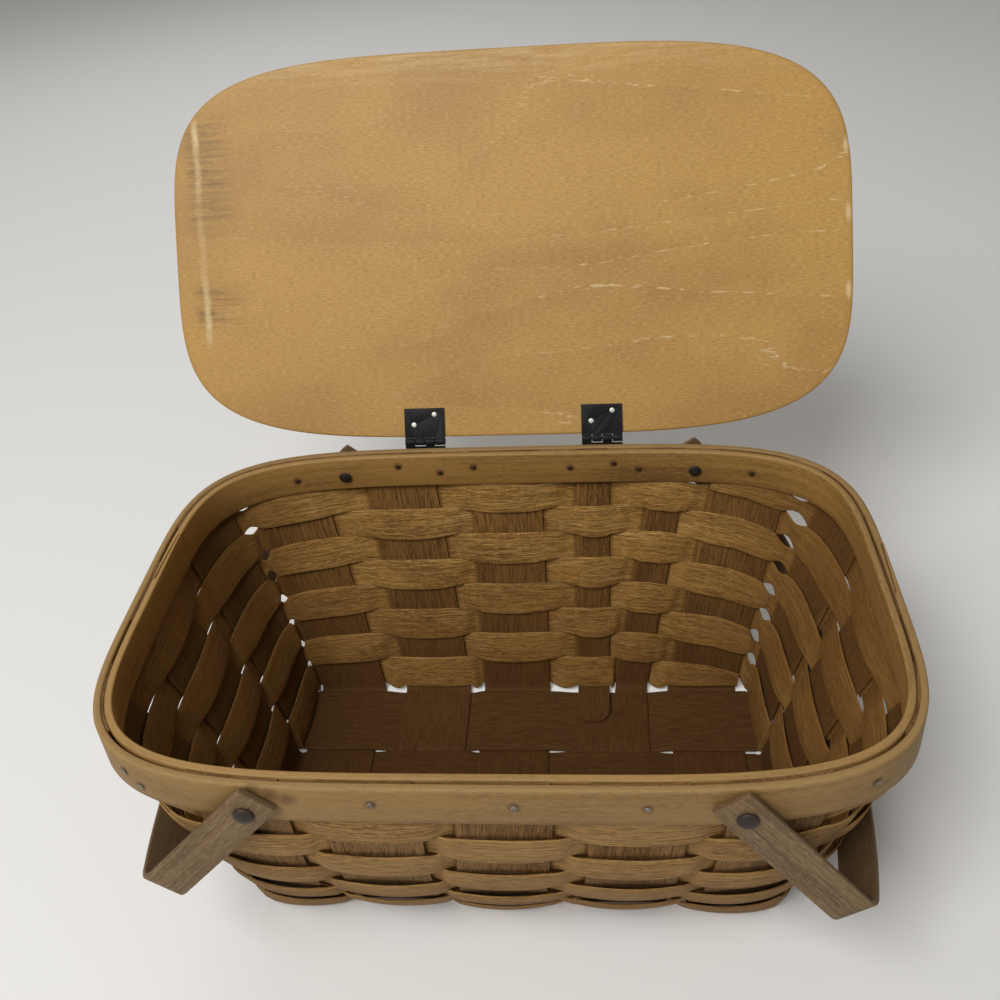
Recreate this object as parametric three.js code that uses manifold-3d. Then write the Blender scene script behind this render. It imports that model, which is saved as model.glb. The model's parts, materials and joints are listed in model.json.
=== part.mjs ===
// Splint picnic basket: a spiral-woven splint body, a rim of two bent bands, a hinged lid and two swing handles.
// Millimetres, +Z up. The origin is on the ground under the middle of the floor; the hinges are towards +Y.
import * as THREE from 'three';
import { mergeVertices } from 'three/addons/utils/BufferGeometryUtils.js';
import Module from 'manifold-3d';

const wasm = await Module();
wasm.setup();

// Driving dimensions of the body
const basketHeight = 178.6;
const rimLength = 430;
const rimDepth = 263;
const rimHeight = 25.4;
const rimSquareness = 4.6;
const floorSquareness = 40;
const roundingEase = 0.75;
const endFlare = 1.2;
const frontBulge = 11;
const bulgeSquareness = 4;
const floorMargin = 4.5;

// Splints
const stakeThickness = 1.4;
const weaverThickness = 1.2;
const splintGap = 0.43;
const crosswiseCount = 5;
const crosswiseWidth = 47;
const crosswiseFloorPitch = 62;
const crosswiseFloorShift = -3;
const backRimPitch = 78;
const backRimShift = -3;
const frontRimPitch = 64.5;
const frontRimShift = 5;
const middleDrift = -5.5;
const lengthwiseCount = 3;
const lengthwiseWidth = 47;
const lengthwiseFloorPitch = 50.5;
const lengthwiseRimPitch = 78;
const splitWidth = 22;
const splitFloorSpacing = 26;
const splitRimSpacing = 50;
const splitTailLength = 27;
const stakeTopDrop = 2;
const bendRise = 3.6;
const bendReach = 3.4;
const flatStepCount = 2;
const cornerStepCount = 4;

// Weave
const rowCount = 8;
const rowGap = 0.6;
const lowestRowHeight = 8;
const rowDropAtCorner = 0.35;
const stakeEdgeEase = 1;

// Rim bands
const bandThickness = 3.6;
const bandClearance = 0.55;
const bandEdgeEase = 1;
const bandLap = 0.3;
const bandTip = 1;
const bandStationCount = 96;
const innerLapAngle = 176;
const outerLapAngle = 14;

// Lid
const lidLength = 450;
const lidShift = -3.4;
const lidDepth = 256;
const lidThickness = 4;
const lidSquareness = 4.13;
const lidEdgeEase = 0.8;
const lidSetback = 0.2;
const lidRestGap = 2.6;
const lidOpenAngle = 118;

// Hinges
const hingeSpacing = 119;
const hingeShift = -2.5;
const hingeWidth = 27;
const leafThickness = 1.2;
const leafLength = 20;
const knuckleRadius = 2.5;
const knuckleCount = 4;
const knuckleGap = 0.5;
const pinRadius = 1.1;
const leafNailSide = 7;
const leafNailNear = 8.5;
const leafNailFar = 15.3;
const leafNailGap = 0.2;

// Handles
const strapWidth = 22;
const strapThickness = 2.9;
const strapRimGap = 0.35;
const strapEnd = 12.7;
const leftHandleReach = 118;
const rightHandleReach = 127;
const handleBow = 298;
const handleCorner = 15;
const pivotDrop = 14.5;
const handleWallGap = 0.5;

// Fasteners
const nailHeadRadius = 2;
const nailHeadHeight = 0.5;
const nailShankRadius = 0.8;
const nailDepth = 2.4;
const rivetHeadRadius = 5.5;
const rivetHeadHeight = 2.6;
const rivetShankRadius = 2.2;
const rivetBurrRadius = 4;
const rivetBurrHeight = 1;
const fit = 0.3;

// Rim nails by their direction from the basket's middle, in degrees, and their drop below the rim's top
const outerNails = [
  { angle: -134.8, drop: 12 },
  { angle: -132.4, drop: 17.5 },
  { angle: -105, drop: 11 },
  { angle: -87, drop: 12 },
  { angle: -71, drop: 12.5 },
  { angle: -46.5, drop: 13 },
];
const innerNails = [
  { angle: 127, drop: 14 },
  { angle: 111, drop: 8 },
  { angle: 104, drop: 14 },
  { angle: 98, drop: 10 },
  { angle: 80.5, drop: 12 },
  { angle: 73, drop: 9 },
  { angle: 69, drop: 14 },
  { angle: 52, drop: 14 },
];

// Sizes worked out from those above
const { lerp, clamp, degToRad } = THREE.MathUtils;
const rimTop = basketHeight;
const rimBottom = rimTop - rimHeight;
const wallTop = rimBottom - 1;
const bandInset = stakeThickness / 2 + bandClearance;
const bandOutside = bandInset + bandThickness;
const wallHalfLength = rimLength / 2 - bandOutside;
const wallHalfDepth = rimDepth / 2 - bandOutside;
const floorLevelStep = (stakeThickness + splintGap) / 2;
const floorMiddle = stakeThickness / 2 + floorLevelStep;
const crosswiseReach = ((crosswiseCount - 1) * crosswiseFloorPitch + crosswiseWidth) / 2;
const lengthwiseReach = ((lengthwiseCount - 1) * lengthwiseFloorPitch + lengthwiseWidth) / 2;
const floorHalfLength = crosswiseReach + Math.abs(crosswiseFloorShift) + floorMargin;
const floorHalfDepth = lengthwiseReach + floorMargin;
const weaveOffset = (stakeThickness + weaverThickness) / 2 + splintGap;
const spliceOffset = weaveOffset + weaverThickness + splintGap;
const rowPitch = (wallTop - lowestRowHeight) / rowCount;
const backFace = rimDepth / 2;
const middleIndex = (crosswiseCount - 1) / 2;
const splitIndex = crosswiseCount - 2;
const pivotHeight = rimTop - pivotDrop;
const pivotFromMiddle = (middleIndex - 0.5) * backRimPitch;

// Closed bodies from cross-sections

function closedBody(positions, faces) {
  const geometry = new THREE.BufferGeometry();
  geometry.setAttribute('position', new THREE.Float32BufferAttribute(positions, 3));
  let volume = 0;
  const corner = (index) => new THREE.Vector3().fromArray(positions, index * 3);
  for (let f = 0; f < faces.length; f += 3) {
    volume += corner(faces[f]).dot(corner(faces[f + 1]).cross(corner(faces[f + 2])));
  }
  geometry.setIndex(volume > 0 ? faces : faces.reverse());
  return geometry;
}

// Joins a row of sections, each a ring of points whose first half faces its second half.
// Each quad is split along its shorter diagonal, so that strips lying on one another are folded alike.
function loft(sections) {
  const points = sections.flat();
  const ring = sections[0].length;
  const end = (sections.length - 1) * ring;
  const faces = [];
  const quad = (a, b, c, d) => {
    const split = points[a].distanceTo(points[c]) <= points[b].distanceTo(points[d]);
    faces.push(...(split ? [a, b, c, a, c, d] : [a, b, d, b, c, d]));
  };
  for (let here = 0; here < end; here += ring) {
    for (let k = 0; k < ring; k++) {
      const next = (k + 1) % ring;
      quad(here + k, here + next, here + ring + next, here + ring + k);
    }
  }
  for (let k = 0; k < ring / 2 - 1; k++) {
    quad(k, ring - 1 - k, ring - 2 - k, k + 1);
    quad(end + k, end + k + 1, end + ring - 2 - k, end + ring - 1 - k);
  }
  return closedBody(points.flatMap((point) => point.toArray()), faces);
}

// A flat strip's section from its middle points and their normals.
function stripSection(middles, normals, thickness) {
  const face = (offset) => middles.map((point, k) => point.clone().addScaledVector(normals[k], offset));
  return [...face(thickness / 2), ...face(-thickness / 2).reverse()];
}

// Boolean cuts and joins

function toSolid(geometry) {
  const bare = geometry.clone();
  bare.deleteAttribute('normal');
  bare.deleteAttribute('uv');
  const merged = mergeVertices(bare);
  const vertProperties = new Float32Array(merged.getAttribute('position').array);
  const triVerts = new Uint32Array(merged.getIndex().array);
  return new wasm.Manifold(new wasm.Mesh({ numProp: 3, vertProperties, triVerts }));
}

function toGeometry(solid) {
  const { vertProperties, triVerts } = solid.getMesh();
  const geometry = new THREE.BufferGeometry();
  geometry.setAttribute('position', new THREE.BufferAttribute(vertProperties, 3));
  geometry.setIndex(new THREE.BufferAttribute(triVerts, 1));
  return geometry;
}

const join = (...pieces) => toGeometry(pieces.map(toSolid).reduce((whole, piece) => whole.add(piece)));
const cut = (geometry, tools) =>
  toGeometry(tools.map(toSolid).reduce((whole, tool) => whole.subtract(tool), toSolid(geometry)));

// The wall: a leaning surface, square at the floor and rounded at the rim, upright between the rim bands.
// Its front bulges between the floor and the rim, and the bulge fades towards the corners.

function wallShape(z) {
  const rise = clamp((z - floorMiddle) / (wallTop - floorMiddle), 0, 1);
  const plainDepth = lerp(floorHalfDepth, wallHalfDepth, rise);
  const bulge = frontBulge * Math.sin(Math.PI * rise);
  return {
    rise,
    halfLength: lerp(floorHalfLength, wallHalfLength, rise ** endFlare),
    halfDepth: (along, y) => plainDepth + (y < 0 ? bulge * (1 - Math.abs(along) ** bulgeSquareness) : 0),
    power: 1 / lerp(1 / floorSquareness, 1 / rimSquareness, rise ** roundingEase),
  };
}

function wallPoint(angle, z) {
  const { halfLength, halfDepth, power } = wallShape(z);
  const c = Math.cos(angle);
  const s = Math.sin(angle);
  const reach = (Math.abs(c) ** power + Math.abs(s) ** power) ** (-1 / power);
  return new THREE.Vector3(halfLength * reach * c, halfDepth(reach * c, s) * reach * s, z);
}

function clockwise(angle, z) {
  const step = 1e-4;
  return wallPoint(angle - step, z).sub(wallPoint(angle + step, z)).normalize();
}

const upWall = (angle, z) => wallPoint(angle, z).sub(wallPoint(angle, z - 1)).normalize();
const wallNormal = (angle, z) => upWall(angle, z).cross(clockwise(angle, z)).normalize();

// The stakes in clockwise order from the back right, each with its side and its middle's place along it

const drift = (index) => (index === middleIndex ? middleDrift : 0);
const crosswiseFloor = (index) =>
  crosswiseFloorShift + drift(index) + (index - middleIndex) * crosswiseFloorPitch;
const crosswiseRim = {
  back: (index) => backRimShift + drift(index) + (index - middleIndex) * backRimPitch,
  front: (index) => frontRimShift + (index - middleIndex) * frontRimPitch,
};
const crosswiseCentre = (side, index, rise) => lerp(crosswiseFloor(index), crosswiseRim[side](index), rise);
const lengthwiseCentre = (index, rise) =>
  ((lengthwiseCount - 1) / 2 - index) * lerp(lengthwiseFloorPitch, lengthwiseRimPitch, rise);
const splitCentre = (side, rise) =>
  crosswiseCentre('back', splitIndex, rise) + (side / 2) * lerp(splitFloorSpacing, splitRimSpacing, rise);

// Steps across a splint, more of them where it follows a corner's curve.
const stepsOf = (index, count) => (index === 0 || index === count - 1 ? cornerStepCount : flatStepCount);
const crosswiseStake = (side, index) => ({
  side,
  width: crosswiseWidth,
  steps: stepsOf(index, crosswiseCount),
  centre: (rise) => crosswiseCentre(side, index, rise),
});
const lengthwiseStake = (side, index) => ({
  side,
  width: lengthwiseWidth,
  steps: stepsOf(index, lengthwiseCount),
  centre: (rise) => lengthwiseCentre(index, rise),
});
const splitStake = (half) => ({
  side: 'back',
  width: splitWidth,
  steps: flatStepCount,
  centre: (rise) => splitCentre(half, rise),
});
const acrossShares = (steps) => Array.from({ length: steps + 1 }, (_, k) => (2 * k) / steps - 1);

const crosswiseOrder = Array.from({ length: crosswiseCount }, (_, index) => index);
const lengthwiseOrder = Array.from({ length: lengthwiseCount }, (_, index) => index);
const lastCrosswise = crosswiseCount - 1;
const stakes = [
  crosswiseStake('back', lastCrosswise),
  ...lengthwiseOrder.map((index) => lengthwiseStake('right', index)),
  ...crosswiseOrder.map((index) => crosswiseStake('front', lastCrosswise - index)),
  ...lengthwiseOrder.map((index) => lengthwiseStake('left', lengthwiseCount - 1 - index)),
  ...crosswiseOrder.slice(0, splitIndex).map((index) => crosswiseStake('back', index)),
  splitStake(-1),
  splitStake(1),
];

const sideDirection = { back: [0, 1], front: [0, -1], right: [1, 0], left: [-1, 0] };

// The wall angle of a point on a stake, at a distance from the stake's middle counted clockwise.
function stakeAngle(stake, distance, z) {
  const { rise, halfLength, halfDepth, power } = wallShape(z);
  const [outX, outY] = sideDirection[stake.side];
  const along = stake.centre(rise) / (outX === 0 ? halfLength : halfDepth(outX, stake.centre(rise)));
  const out = (1 - Math.abs(along) ** power) ** (1 / power);
  let angle = outX === 0 ? Math.atan2(outY * out, along) : Math.atan2(along, outX * out);
  const strides = 8;
  for (let k = 0; k < strides; k++) {
    const point = wallPoint(angle, z).addScaledVector(clockwise(angle, z), distance / strides);
    const reached = point.x / halfLength;
    angle = Math.atan2(point.y / halfDepth(reached, point.y), reached);
  }
  return angle;
}

// Floor and wall splints

const wallHeights = [rimTop - stakeTopDrop, wallTop + 1];
for (let row = 0; row <= rowCount; row++) {
  wallHeights.push(wallTop - row * rowPitch);
}

// One section of a stake on the wall; towards is +1 where the section's points run clockwise.
function wallSection(stake, z, towards) {
  const half = (towards * stake.width) / 2;
  const angles = acrossShares(stake.steps).map((share) => stakeAngle(stake, share * half, z));
  return stripSection(
    angles.map((angle) => wallPoint(angle, z)),
    angles.map((angle) => wallNormal(angle, z)),
    stakeThickness,
  );
}

// The bend from the wall to the floor, as sections from the wall inwards, meeting the floor at floorEdges.
function bendSections(stake, towards, floorEdges, floorLevel) {
  const [outX, outY] = sideDirection[stake.side];
  const inward = new THREE.Vector3(-outX, -outY, 0);
  const top = floorLevel + bendRise;
  const lines = acrossShares(stake.steps).map((share, k) => {
    const angle = stakeAngle(stake, (towards * share * stake.width) / 2, top);
    const start = wallPoint(angle, top);
    const down = upWall(angle, top).negate();
    const corner = start.clone().addScaledVector(down, -bendRise / down.z);
    const finish = corner.clone().addScaledVector(inward, bendReach);
    finish.setComponent(outX === 0 ? 0 : 1, floorEdges[k]);
    return new THREE.QuadraticBezierCurve3(start, corner, finish);
  });
  return [0.35, 0.7, 1].map((share) => {
    const normals = lines.map((line) => {
      const tangent = line.getTangent(share);
      const flat = Math.hypot(tangent.x * outX, tangent.y * outY);
      return new THREE.Vector3(-outX * tangent.z, -outY * tangent.z, -flat).normalize();
    });
    return stripSection(lines.map((line) => line.getPoint(share)), normals, stakeThickness);
  });
}

const down = new THREE.Vector3(0, 0, -1);
function floorSection(points) {
  return stripSection(points, points.map(() => down), stakeThickness);
}

const crosswiseIsOver = (crosswise, lengthwise) => (crosswise + lengthwise) % 2 === 1;
const crosswiseLevel = (crosswise, lengthwise) =>
  floorMiddle + (crosswiseIsOver(crosswise, lengthwise) ? floorLevelStep : -floorLevelStep);
const lengthwiseLevel = (lengthwise, crosswise) => 2 * floorMiddle - crosswiseLevel(crosswise, lengthwise);

const edgesOf = (centre, width, steps) => acrossShares(steps).map((share) => centre + (share * width) / 2);

function crosswiseSplint(index) {
  const isSplit = index === splitIndex;
  const back = isSplit ? splitStake(1) : crosswiseStake('back', index);
  const front = crosswiseStake('front', index);
  const edges = edgesOf(crosswiseFloor(index), crosswiseWidth, front.steps);
  const backEdges = edgesOf(back.centre(0), back.width, back.steps);
  const sections = wallHeights.map((z) => wallSection(back, z, 1));
  sections.push(...bendSections(back, 1, backEdges, crosswiseLevel(index, 0)));
  const flat = (xs, y, level) => sections.push(floorSection(xs.map((x) => new THREE.Vector3(x, y, level))));
  for (const crossing of lengthwiseOrder) {
    const level = crosswiseLevel(index, crossing);
    const middle = lengthwiseCentre(crossing, 0);
    const rearEdge = middle + lengthwiseWidth / 2;
    if (isSplit && crossing === 0) {
      flat(backEdges, rearEdge - splitTailLength / 2, level);
    } else {
      flat(edges, rearEdge, level);
    }
    flat(edges, middle - lengthwiseWidth / 2, level);
  }
  sections.push(...bendSections(front, -1, edges, crosswiseLevel(index, lengthwiseCount - 1)).reverse());
  sections.push(...wallHeights.map((z) => wallSection(front, z, -1)).reverse());
  return loft(sections);
}

function lengthwiseSplint(index) {
  const right = lengthwiseStake('right', index);
  const left = lengthwiseStake('left', index);
  const edges = edgesOf(lengthwiseCentre(index, 0), lengthwiseWidth, right.steps);
  const sections = wallHeights.map((z) => wallSection(right, z, -1));
  sections.push(...bendSections(right, -1, edges, lengthwiseLevel(index, lastCrosswise)));
  for (const crossing of [...crosswiseOrder].reverse()) {
    const level = lengthwiseLevel(index, crossing);
    for (const side of [1, -1]) {
      const x = crosswiseFloor(crossing) + (side * crosswiseWidth) / 2;
      sections.push(floorSection(edges.map((y) => new THREE.Vector3(x, y, level))));
    }
  }
  sections.push(...bendSections(left, 1, edges, lengthwiseLevel(index, 0)).reverse());
  sections.push(...wallHeights.map((z) => wallSection(left, z, 1)).reverse());
  return loft(sections);
}

// The added stake beside the split one: down the back wall and onto the floor, where its end is rounded.
function addedStake() {
  const stake = splitStake(-1);
  const centre = stake.centre(0);
  const level = crosswiseLevel(splitIndex, 0) + stakeThickness + splintGap;
  const sections = wallHeights.map((z) => wallSection(stake, z, 1));
  sections.push(...bendSections(stake, 1, edgesOf(centre, splitWidth, stake.steps), level));
  const tailStart = lengthwiseCentre(0, 0) + lengthwiseWidth / 2;
  for (const share of [0.6, 0.85, 0.95, 1]) {
    const roundness = Math.sqrt(1 - (share > 0.6 ? (share - 0.6) / 0.42 : 0) ** 2);
    const y = tailStart - splitTailLength * share;
    const edges = edgesOf(centre, splitWidth * roundness, stake.steps);
    sections.push(floorSection(edges.map((x) => new THREE.Vector3(x, y, level))));
  }
  return loft(sections);
}

// The weaver: one spiral counted in crossings, inside the even stakes and outside the odd ones

const spliceCrossings = [19, 35, 53, 71, 87, 103, 121];
const spiralStart = -0.45;
const spiralEnd = rowCount * stakes.length + 0.5;
const halfCrossing = 0.35;

// Rows lie level all round, and step down by one row from the last back stake to the first end one.
function rowPlace(crossing) {
  const turn = Math.floor(crossing / stakes.length);
  const place = crossing - turn * stakes.length;
  const lastLevel = stakes.length - 1;
  const firstLevel = 1 - halfCrossing;
  if (place < firstLevel) {
    return turn + lerp(rowDropAtCorner, 1, place / firstLevel);
  }
  return turn + 1 + Math.max(0, place - lastLevel) * rowDropAtCorner;
}

function weaverSection(crossing, angleAt, offset) {
  const place = rowPlace(crossing);
  const low = Math.max(lowestRowHeight, wallTop - place * rowPitch) + rowGap / 2;
  const high = Math.min(wallTop, wallTop - (place - 1) * rowPitch) - rowGap / 2;
  const heights = [low, high];
  const normals = heights.map((z) => wallNormal(angleAt(z), z));
  const middles = heights.map((z, k) => wallPoint(angleAt(z), z).addScaledVector(normals[k], offset));
  return stripSection(middles, normals, weaverThickness);
}

const stakeAt = (crossing) => stakes[((crossing % stakes.length) + stakes.length) % stakes.length];
const isInside = (crossing) => crossing % 2 === 0;

function crossingSections(crossing, offset) {
  const stake = stakeAt(crossing);
  return acrossShares(stake.steps).map((share) => {
    const distance = share * (stake.width / 2 + stakeEdgeEase);
    return weaverSection(crossing + share * halfCrossing, (z) => stakeAngle(stake, distance, z), offset);
  });
}

function gapSections(crossing, offsets) {
  const before = stakeAt(crossing);
  const after = stakeAt(crossing + 1);
  const shares = before.side === after.side ? [0.5] : [0.2, 0.4, 0.6, 0.8];
  return shares.map((share) => {
    const angleAt = (z) => {
      const from = stakeAngle(before, before.width / 2 + stakeEdgeEase, z);
      const to = stakeAngle(after, -after.width / 2 - stakeEdgeEase, z);
      const turn = Math.atan2(Math.sin(to - from), Math.cos(to - from));
      return from + turn * share;
    };
    const place = crossing + lerp(halfCrossing, 1 - halfCrossing, share);
    return weaverSection(place, angleAt, lerp(offsets[0], offsets[1], share));
  });
}

function weaver(first, last) {
  const offsetAt = (crossing) => {
    if (isInside(crossing)) {
      return -weaveOffset;
    }
    return crossing === first ? spliceOffset : weaveOffset;
  };
  const sections = [];
  for (let crossing = Math.ceil(first); crossing <= last; crossing++) {
    sections.push(...crossingSections(crossing, offsetAt(crossing)));
    if (crossing + 1 <= last) {
      sections.push(...gapSections(crossing, [offsetAt(crossing), offsetAt(crossing + 1)]));
    }
  }
  return loft(sections);
}

const weaverEnds = [spiralStart, ...spliceCrossings, spiralEnd];
const weavers = spliceCrossings.concat(spiralEnd).map((last, k) => weaver(weaverEnds[k], last));

// Rim bands, bent round and lapped, with each end thinned where it lies on the other

function bandSection(angle, low, high) {
  const normal = wallNormal(angle, rimTop);
  const at = (offset, z) => wallPoint(angle, rimTop).setZ(z).addScaledVector(normal, offset);
  const ease = Math.min(bandEdgeEase, (high - low) / 3);
  return [
    at(high, rimBottom),
    at(high, rimTop - ease),
    at(high - ease, rimTop),
    at(low + ease, rimTop),
    at(low, rimTop - ease),
    at(low, rimBottom),
  ];
}

function band(inside, lapDegrees) {
  const lapStart = degToRad(lapDegrees);
  const outside = inside + bandThickness;
  const lapStations = 4;
  const step = 0.004;
  const sections = [];
  const thick = (share) => lerp(bandTip, bandThickness - bandTip - splintGap, share);
  for (let k = 0; k <= lapStations; k++) {
    const share = k / lapStations;
    sections.push(bandSection(lapStart - share * bandLap, outside - thick(share), outside));
  }
  const turn = 2 * Math.PI - bandLap - 2 * step;
  for (let k = 0; k <= bandStationCount; k++) {
    sections.push(bandSection(lapStart - bandLap - step - (turn * k) / bandStationCount, inside, outside));
  }
  for (let k = 0; k <= lapStations; k++) {
    const share = k / lapStations;
    sections.push(bandSection(lapStart - share * bandLap, inside, outside - thick(share) - splintGap));
  }
  return loft(sections);
}

// Fasteners, turned about Y with the head towards +Y

function turned(profile, sides) {
  return new THREE.LatheGeometry(profile.map(([radius, y]) => new THREE.Vector2(radius, y)), sides);
}

const nailShape = turned(
  [
    [0, -nailDepth],
    [nailShankRadius, -nailDepth + nailShankRadius],
    [nailShankRadius, 0],
    [nailHeadRadius, 0],
    [nailHeadRadius * 0.8, nailHeadHeight],
    [0, nailHeadHeight],
  ],
  8,
);
const headUp = new THREE.Vector3(0, 1, 0);

function place(geometry, point, direction) {
  const turn = new THREE.Quaternion().setFromUnitVectors(headUp, direction);
  return geometry.clone().applyQuaternion(turn).translate(...point.toArray());
}

const hole = (radius, length, point, direction) =>
  place(new THREE.CylinderGeometry(radius, radius, length, 10), point, direction);

// Assembly

const basket = new THREE.Group();

function finish(colour, roughness, metalness = 0) {
  return new THREE.MeshStandardMaterial({ color: colour, roughness, metalness });
}

const stakeWood = finish(0x7d5a38, 0.8);
const weaverWood = finish(0x9c7448, 0.8);
const rimWood = finish(0xb08a58, 0.75);
const lidWood = finish(0xc99f63, 0.6);
const handleWood = finish(0x8d7350, 0.8);
const hingeSteel = finish(0x2b2b2c, 0.45, 0.8);
const nailSteel = finish(0xc9c4b4, 0.4, 0.9);
const rivetSteel = finish(0x3a3330, 0.5, 0.8);

function add(parent, name, geometry, material) {
  const mesh = new THREE.Mesh(geometry, material);
  mesh.name = name;
  parent.add(mesh);
  return mesh;
}

// Handle pivots, through the rim between the outer two stakes of the back and through a stake at the front

const pivotBores = [-1, 1].map((side) =>
  hole(rivetShankRadius + fit, rimDepth * 2, new THREE.Vector3(side * pivotFromMiddle, 0, pivotHeight), headUp));

for (const index of crosswiseOrder) {
  add(basket, `crosswise_splint_${index + 1}`, cut(crosswiseSplint(index), pivotBores), stakeWood);
}
for (const index of lengthwiseOrder) {
  add(basket, `lengthwise_splint_${index + 1}`, lengthwiseSplint(index), stakeWood);
}
add(basket, 'split_stake', addedStake(), stakeWood);
weavers.forEach((strip, k) => add(basket, `weaver_${k + 1}`, strip, weaverWood));

// Handle rivets

const pivotSides = [
  { name: 'left', x: -pivotFromMiddle, out: -1, reach: leftHandleReach, weaveFace: weaveOffset },
  { name: 'right', x: pivotFromMiddle, out: 1, reach: rightHandleReach, weaveFace: spliceOffset },
];
const strapInside = backFace + strapRimGap;
const strapOutside = strapInside + strapThickness;
const strapMiddle = (strapInside + strapOutside) / 2;

// The rim's face on the back at a place along X, at an offset from the wall's middle.
function rimFace(x, offset) {
  const along = x / wallHalfLength;
  const angle = Math.atan2((1 - Math.abs(along) ** rimSquareness) ** (1 / rimSquareness), along);
  return wallPoint(angle, rimTop).addScaledVector(wallNormal(angle, rimTop), offset).y;
}

function rivet(x) {
  const inside = rimFace(x, -bandOutside) - fit - rivetBurrRadius * 0.1;
  const shoulder = rimFace(x, bandOutside) + fit + rivetBurrRadius * 0.1;
  const dome = strapOutside + fit;
  return turned(
    [
      [0, inside - rivetBurrHeight],
      [rivetBurrRadius, inside - rivetBurrHeight],
      [rivetBurrRadius, inside],
      [rivetShankRadius, inside],
      [rivetShankRadius, shoulder],
      [rivetBurrRadius, shoulder],
      [rivetBurrRadius, strapInside - fit],
      [rivetShankRadius, strapInside - fit],
      [rivetShankRadius, dome],
      [rivetHeadRadius, dome],
      [rivetHeadRadius * 0.85, dome + rivetHeadHeight * 0.55],
      [rivetHeadRadius * 0.45, dome + rivetHeadHeight * 0.92],
      [0, dome + rivetHeadHeight],
    ],
    12,
  );
}

const innerHoles = [...pivotBores];
const outerHoles = [...pivotBores];
for (const side of pivotSides) {
  for (const [end, turn] of [['back', 0], ['front', Math.PI]]) {
    const mesh = add(basket, `rivet_${end}_${side.name}`, rivet(side.x), rivetSteel);
    mesh.position.set(side.x, 0, pivotHeight);
    mesh.rotation.z = turn;
  }
}

// Rim nails and the holes they sit in

function rimNails(prefix, nails, offset, facing, holes) {
  nails.forEach(({ angle, drop }, k) => {
    const direction = wallNormal(degToRad(angle), rimTop);
    const face = wallPoint(degToRad(angle), rimTop).setZ(rimTop - drop).addScaledVector(direction, offset);
    direction.multiplyScalar(facing);
    const seat = face.clone().addScaledVector(direction, fit);
    add(basket, `${prefix}_${k + 1}`, place(nailShape, seat, direction), nailSteel);
    holes.push(hole(nailShankRadius + fit, 2 * nailDepth, face, direction));
  });
}

rimNails('outer_rim_nail', outerNails, bandOutside, 1, outerHoles);
rimNails('inner_rim_nail', innerNails, -bandOutside, -1, innerHoles);

// Hinges: the rim leaf lies on the back of the outer band, the lid leaf under the lid

const pin = new THREE.Vector3(0, backFace + fit + knuckleRadius, rimTop + fit + knuckleRadius);
const lid = new THREE.Group();
lid.position.copy(pin);
lid.rotation.x = -degToRad(lidOpenAngle);
basket.add(lid);

const lidUnder = rimTop + lidRestGap - pin.z;
const lidRear = backFace - lidSetback - pin.y;
const leafUpper = lidUnder - fit;
const leafLower = leafUpper - leafThickness;
const rimLeafInner = backFace + fit - pin.y;
const rimLeafOuter = rimLeafInner + leafThickness;
const leafStart = -knuckleRadius - fit;
const knucklePitch = hingeWidth / knuckleCount;

// A leaf as a box from its knuckles outwards, with the knuckles of one turn and holes for its nails.
function leaf(x, own, boxFrom, boxTo, tabFrom, tabTo, nailHoles) {
  const box = (from, to, left, right) =>
    new THREE.BoxGeometry(right - left, to[0] - from[0], to[1] - from[1]).translate(
      (left + right) / 2,
      (from[0] + to[0]) / 2,
      (from[1] + to[1]) / 2,
    );
  const pieces = [box(boxFrom, boxTo, x - hingeWidth / 2, x + hingeWidth / 2)];
  for (let k = own; k < knuckleCount; k += 2) {
    const left = x - hingeWidth / 2 + k * knucklePitch + (k > 0 ? knuckleGap / 2 : 0);
    const right = x - hingeWidth / 2 + (k + 1) * knucklePitch - (k < knuckleCount - 1 ? knuckleGap / 2 : 0);
    const barrel = new THREE.CylinderGeometry(knuckleRadius, knuckleRadius, right - left, 16);
    pieces.push(box(tabFrom, tabTo, left, right));
    pieces.push(barrel.rotateZ(Math.PI / 2).translate((left + right) / 2, 0, 0));
  }
  const bore = new THREE.CylinderGeometry(pinRadius + fit, pinRadius + fit, hingeWidth * 2, 12);
  return cut(join(...pieces), [bore.rotateZ(Math.PI / 2).translate(x, 0, 0), ...nailHoles]);
}

const lidHoles = [];
const nailPlaces = [
  { side: -leafNailSide, reach: leafNailNear },
  { side: leafNailSide, reach: leafNailFar },
];
const tabEnd = pinRadius + fit + 0.2;
const under = new THREE.Vector3(0, 0, -1);
const outward = new THREE.Vector3(0, 1, 0);

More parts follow.
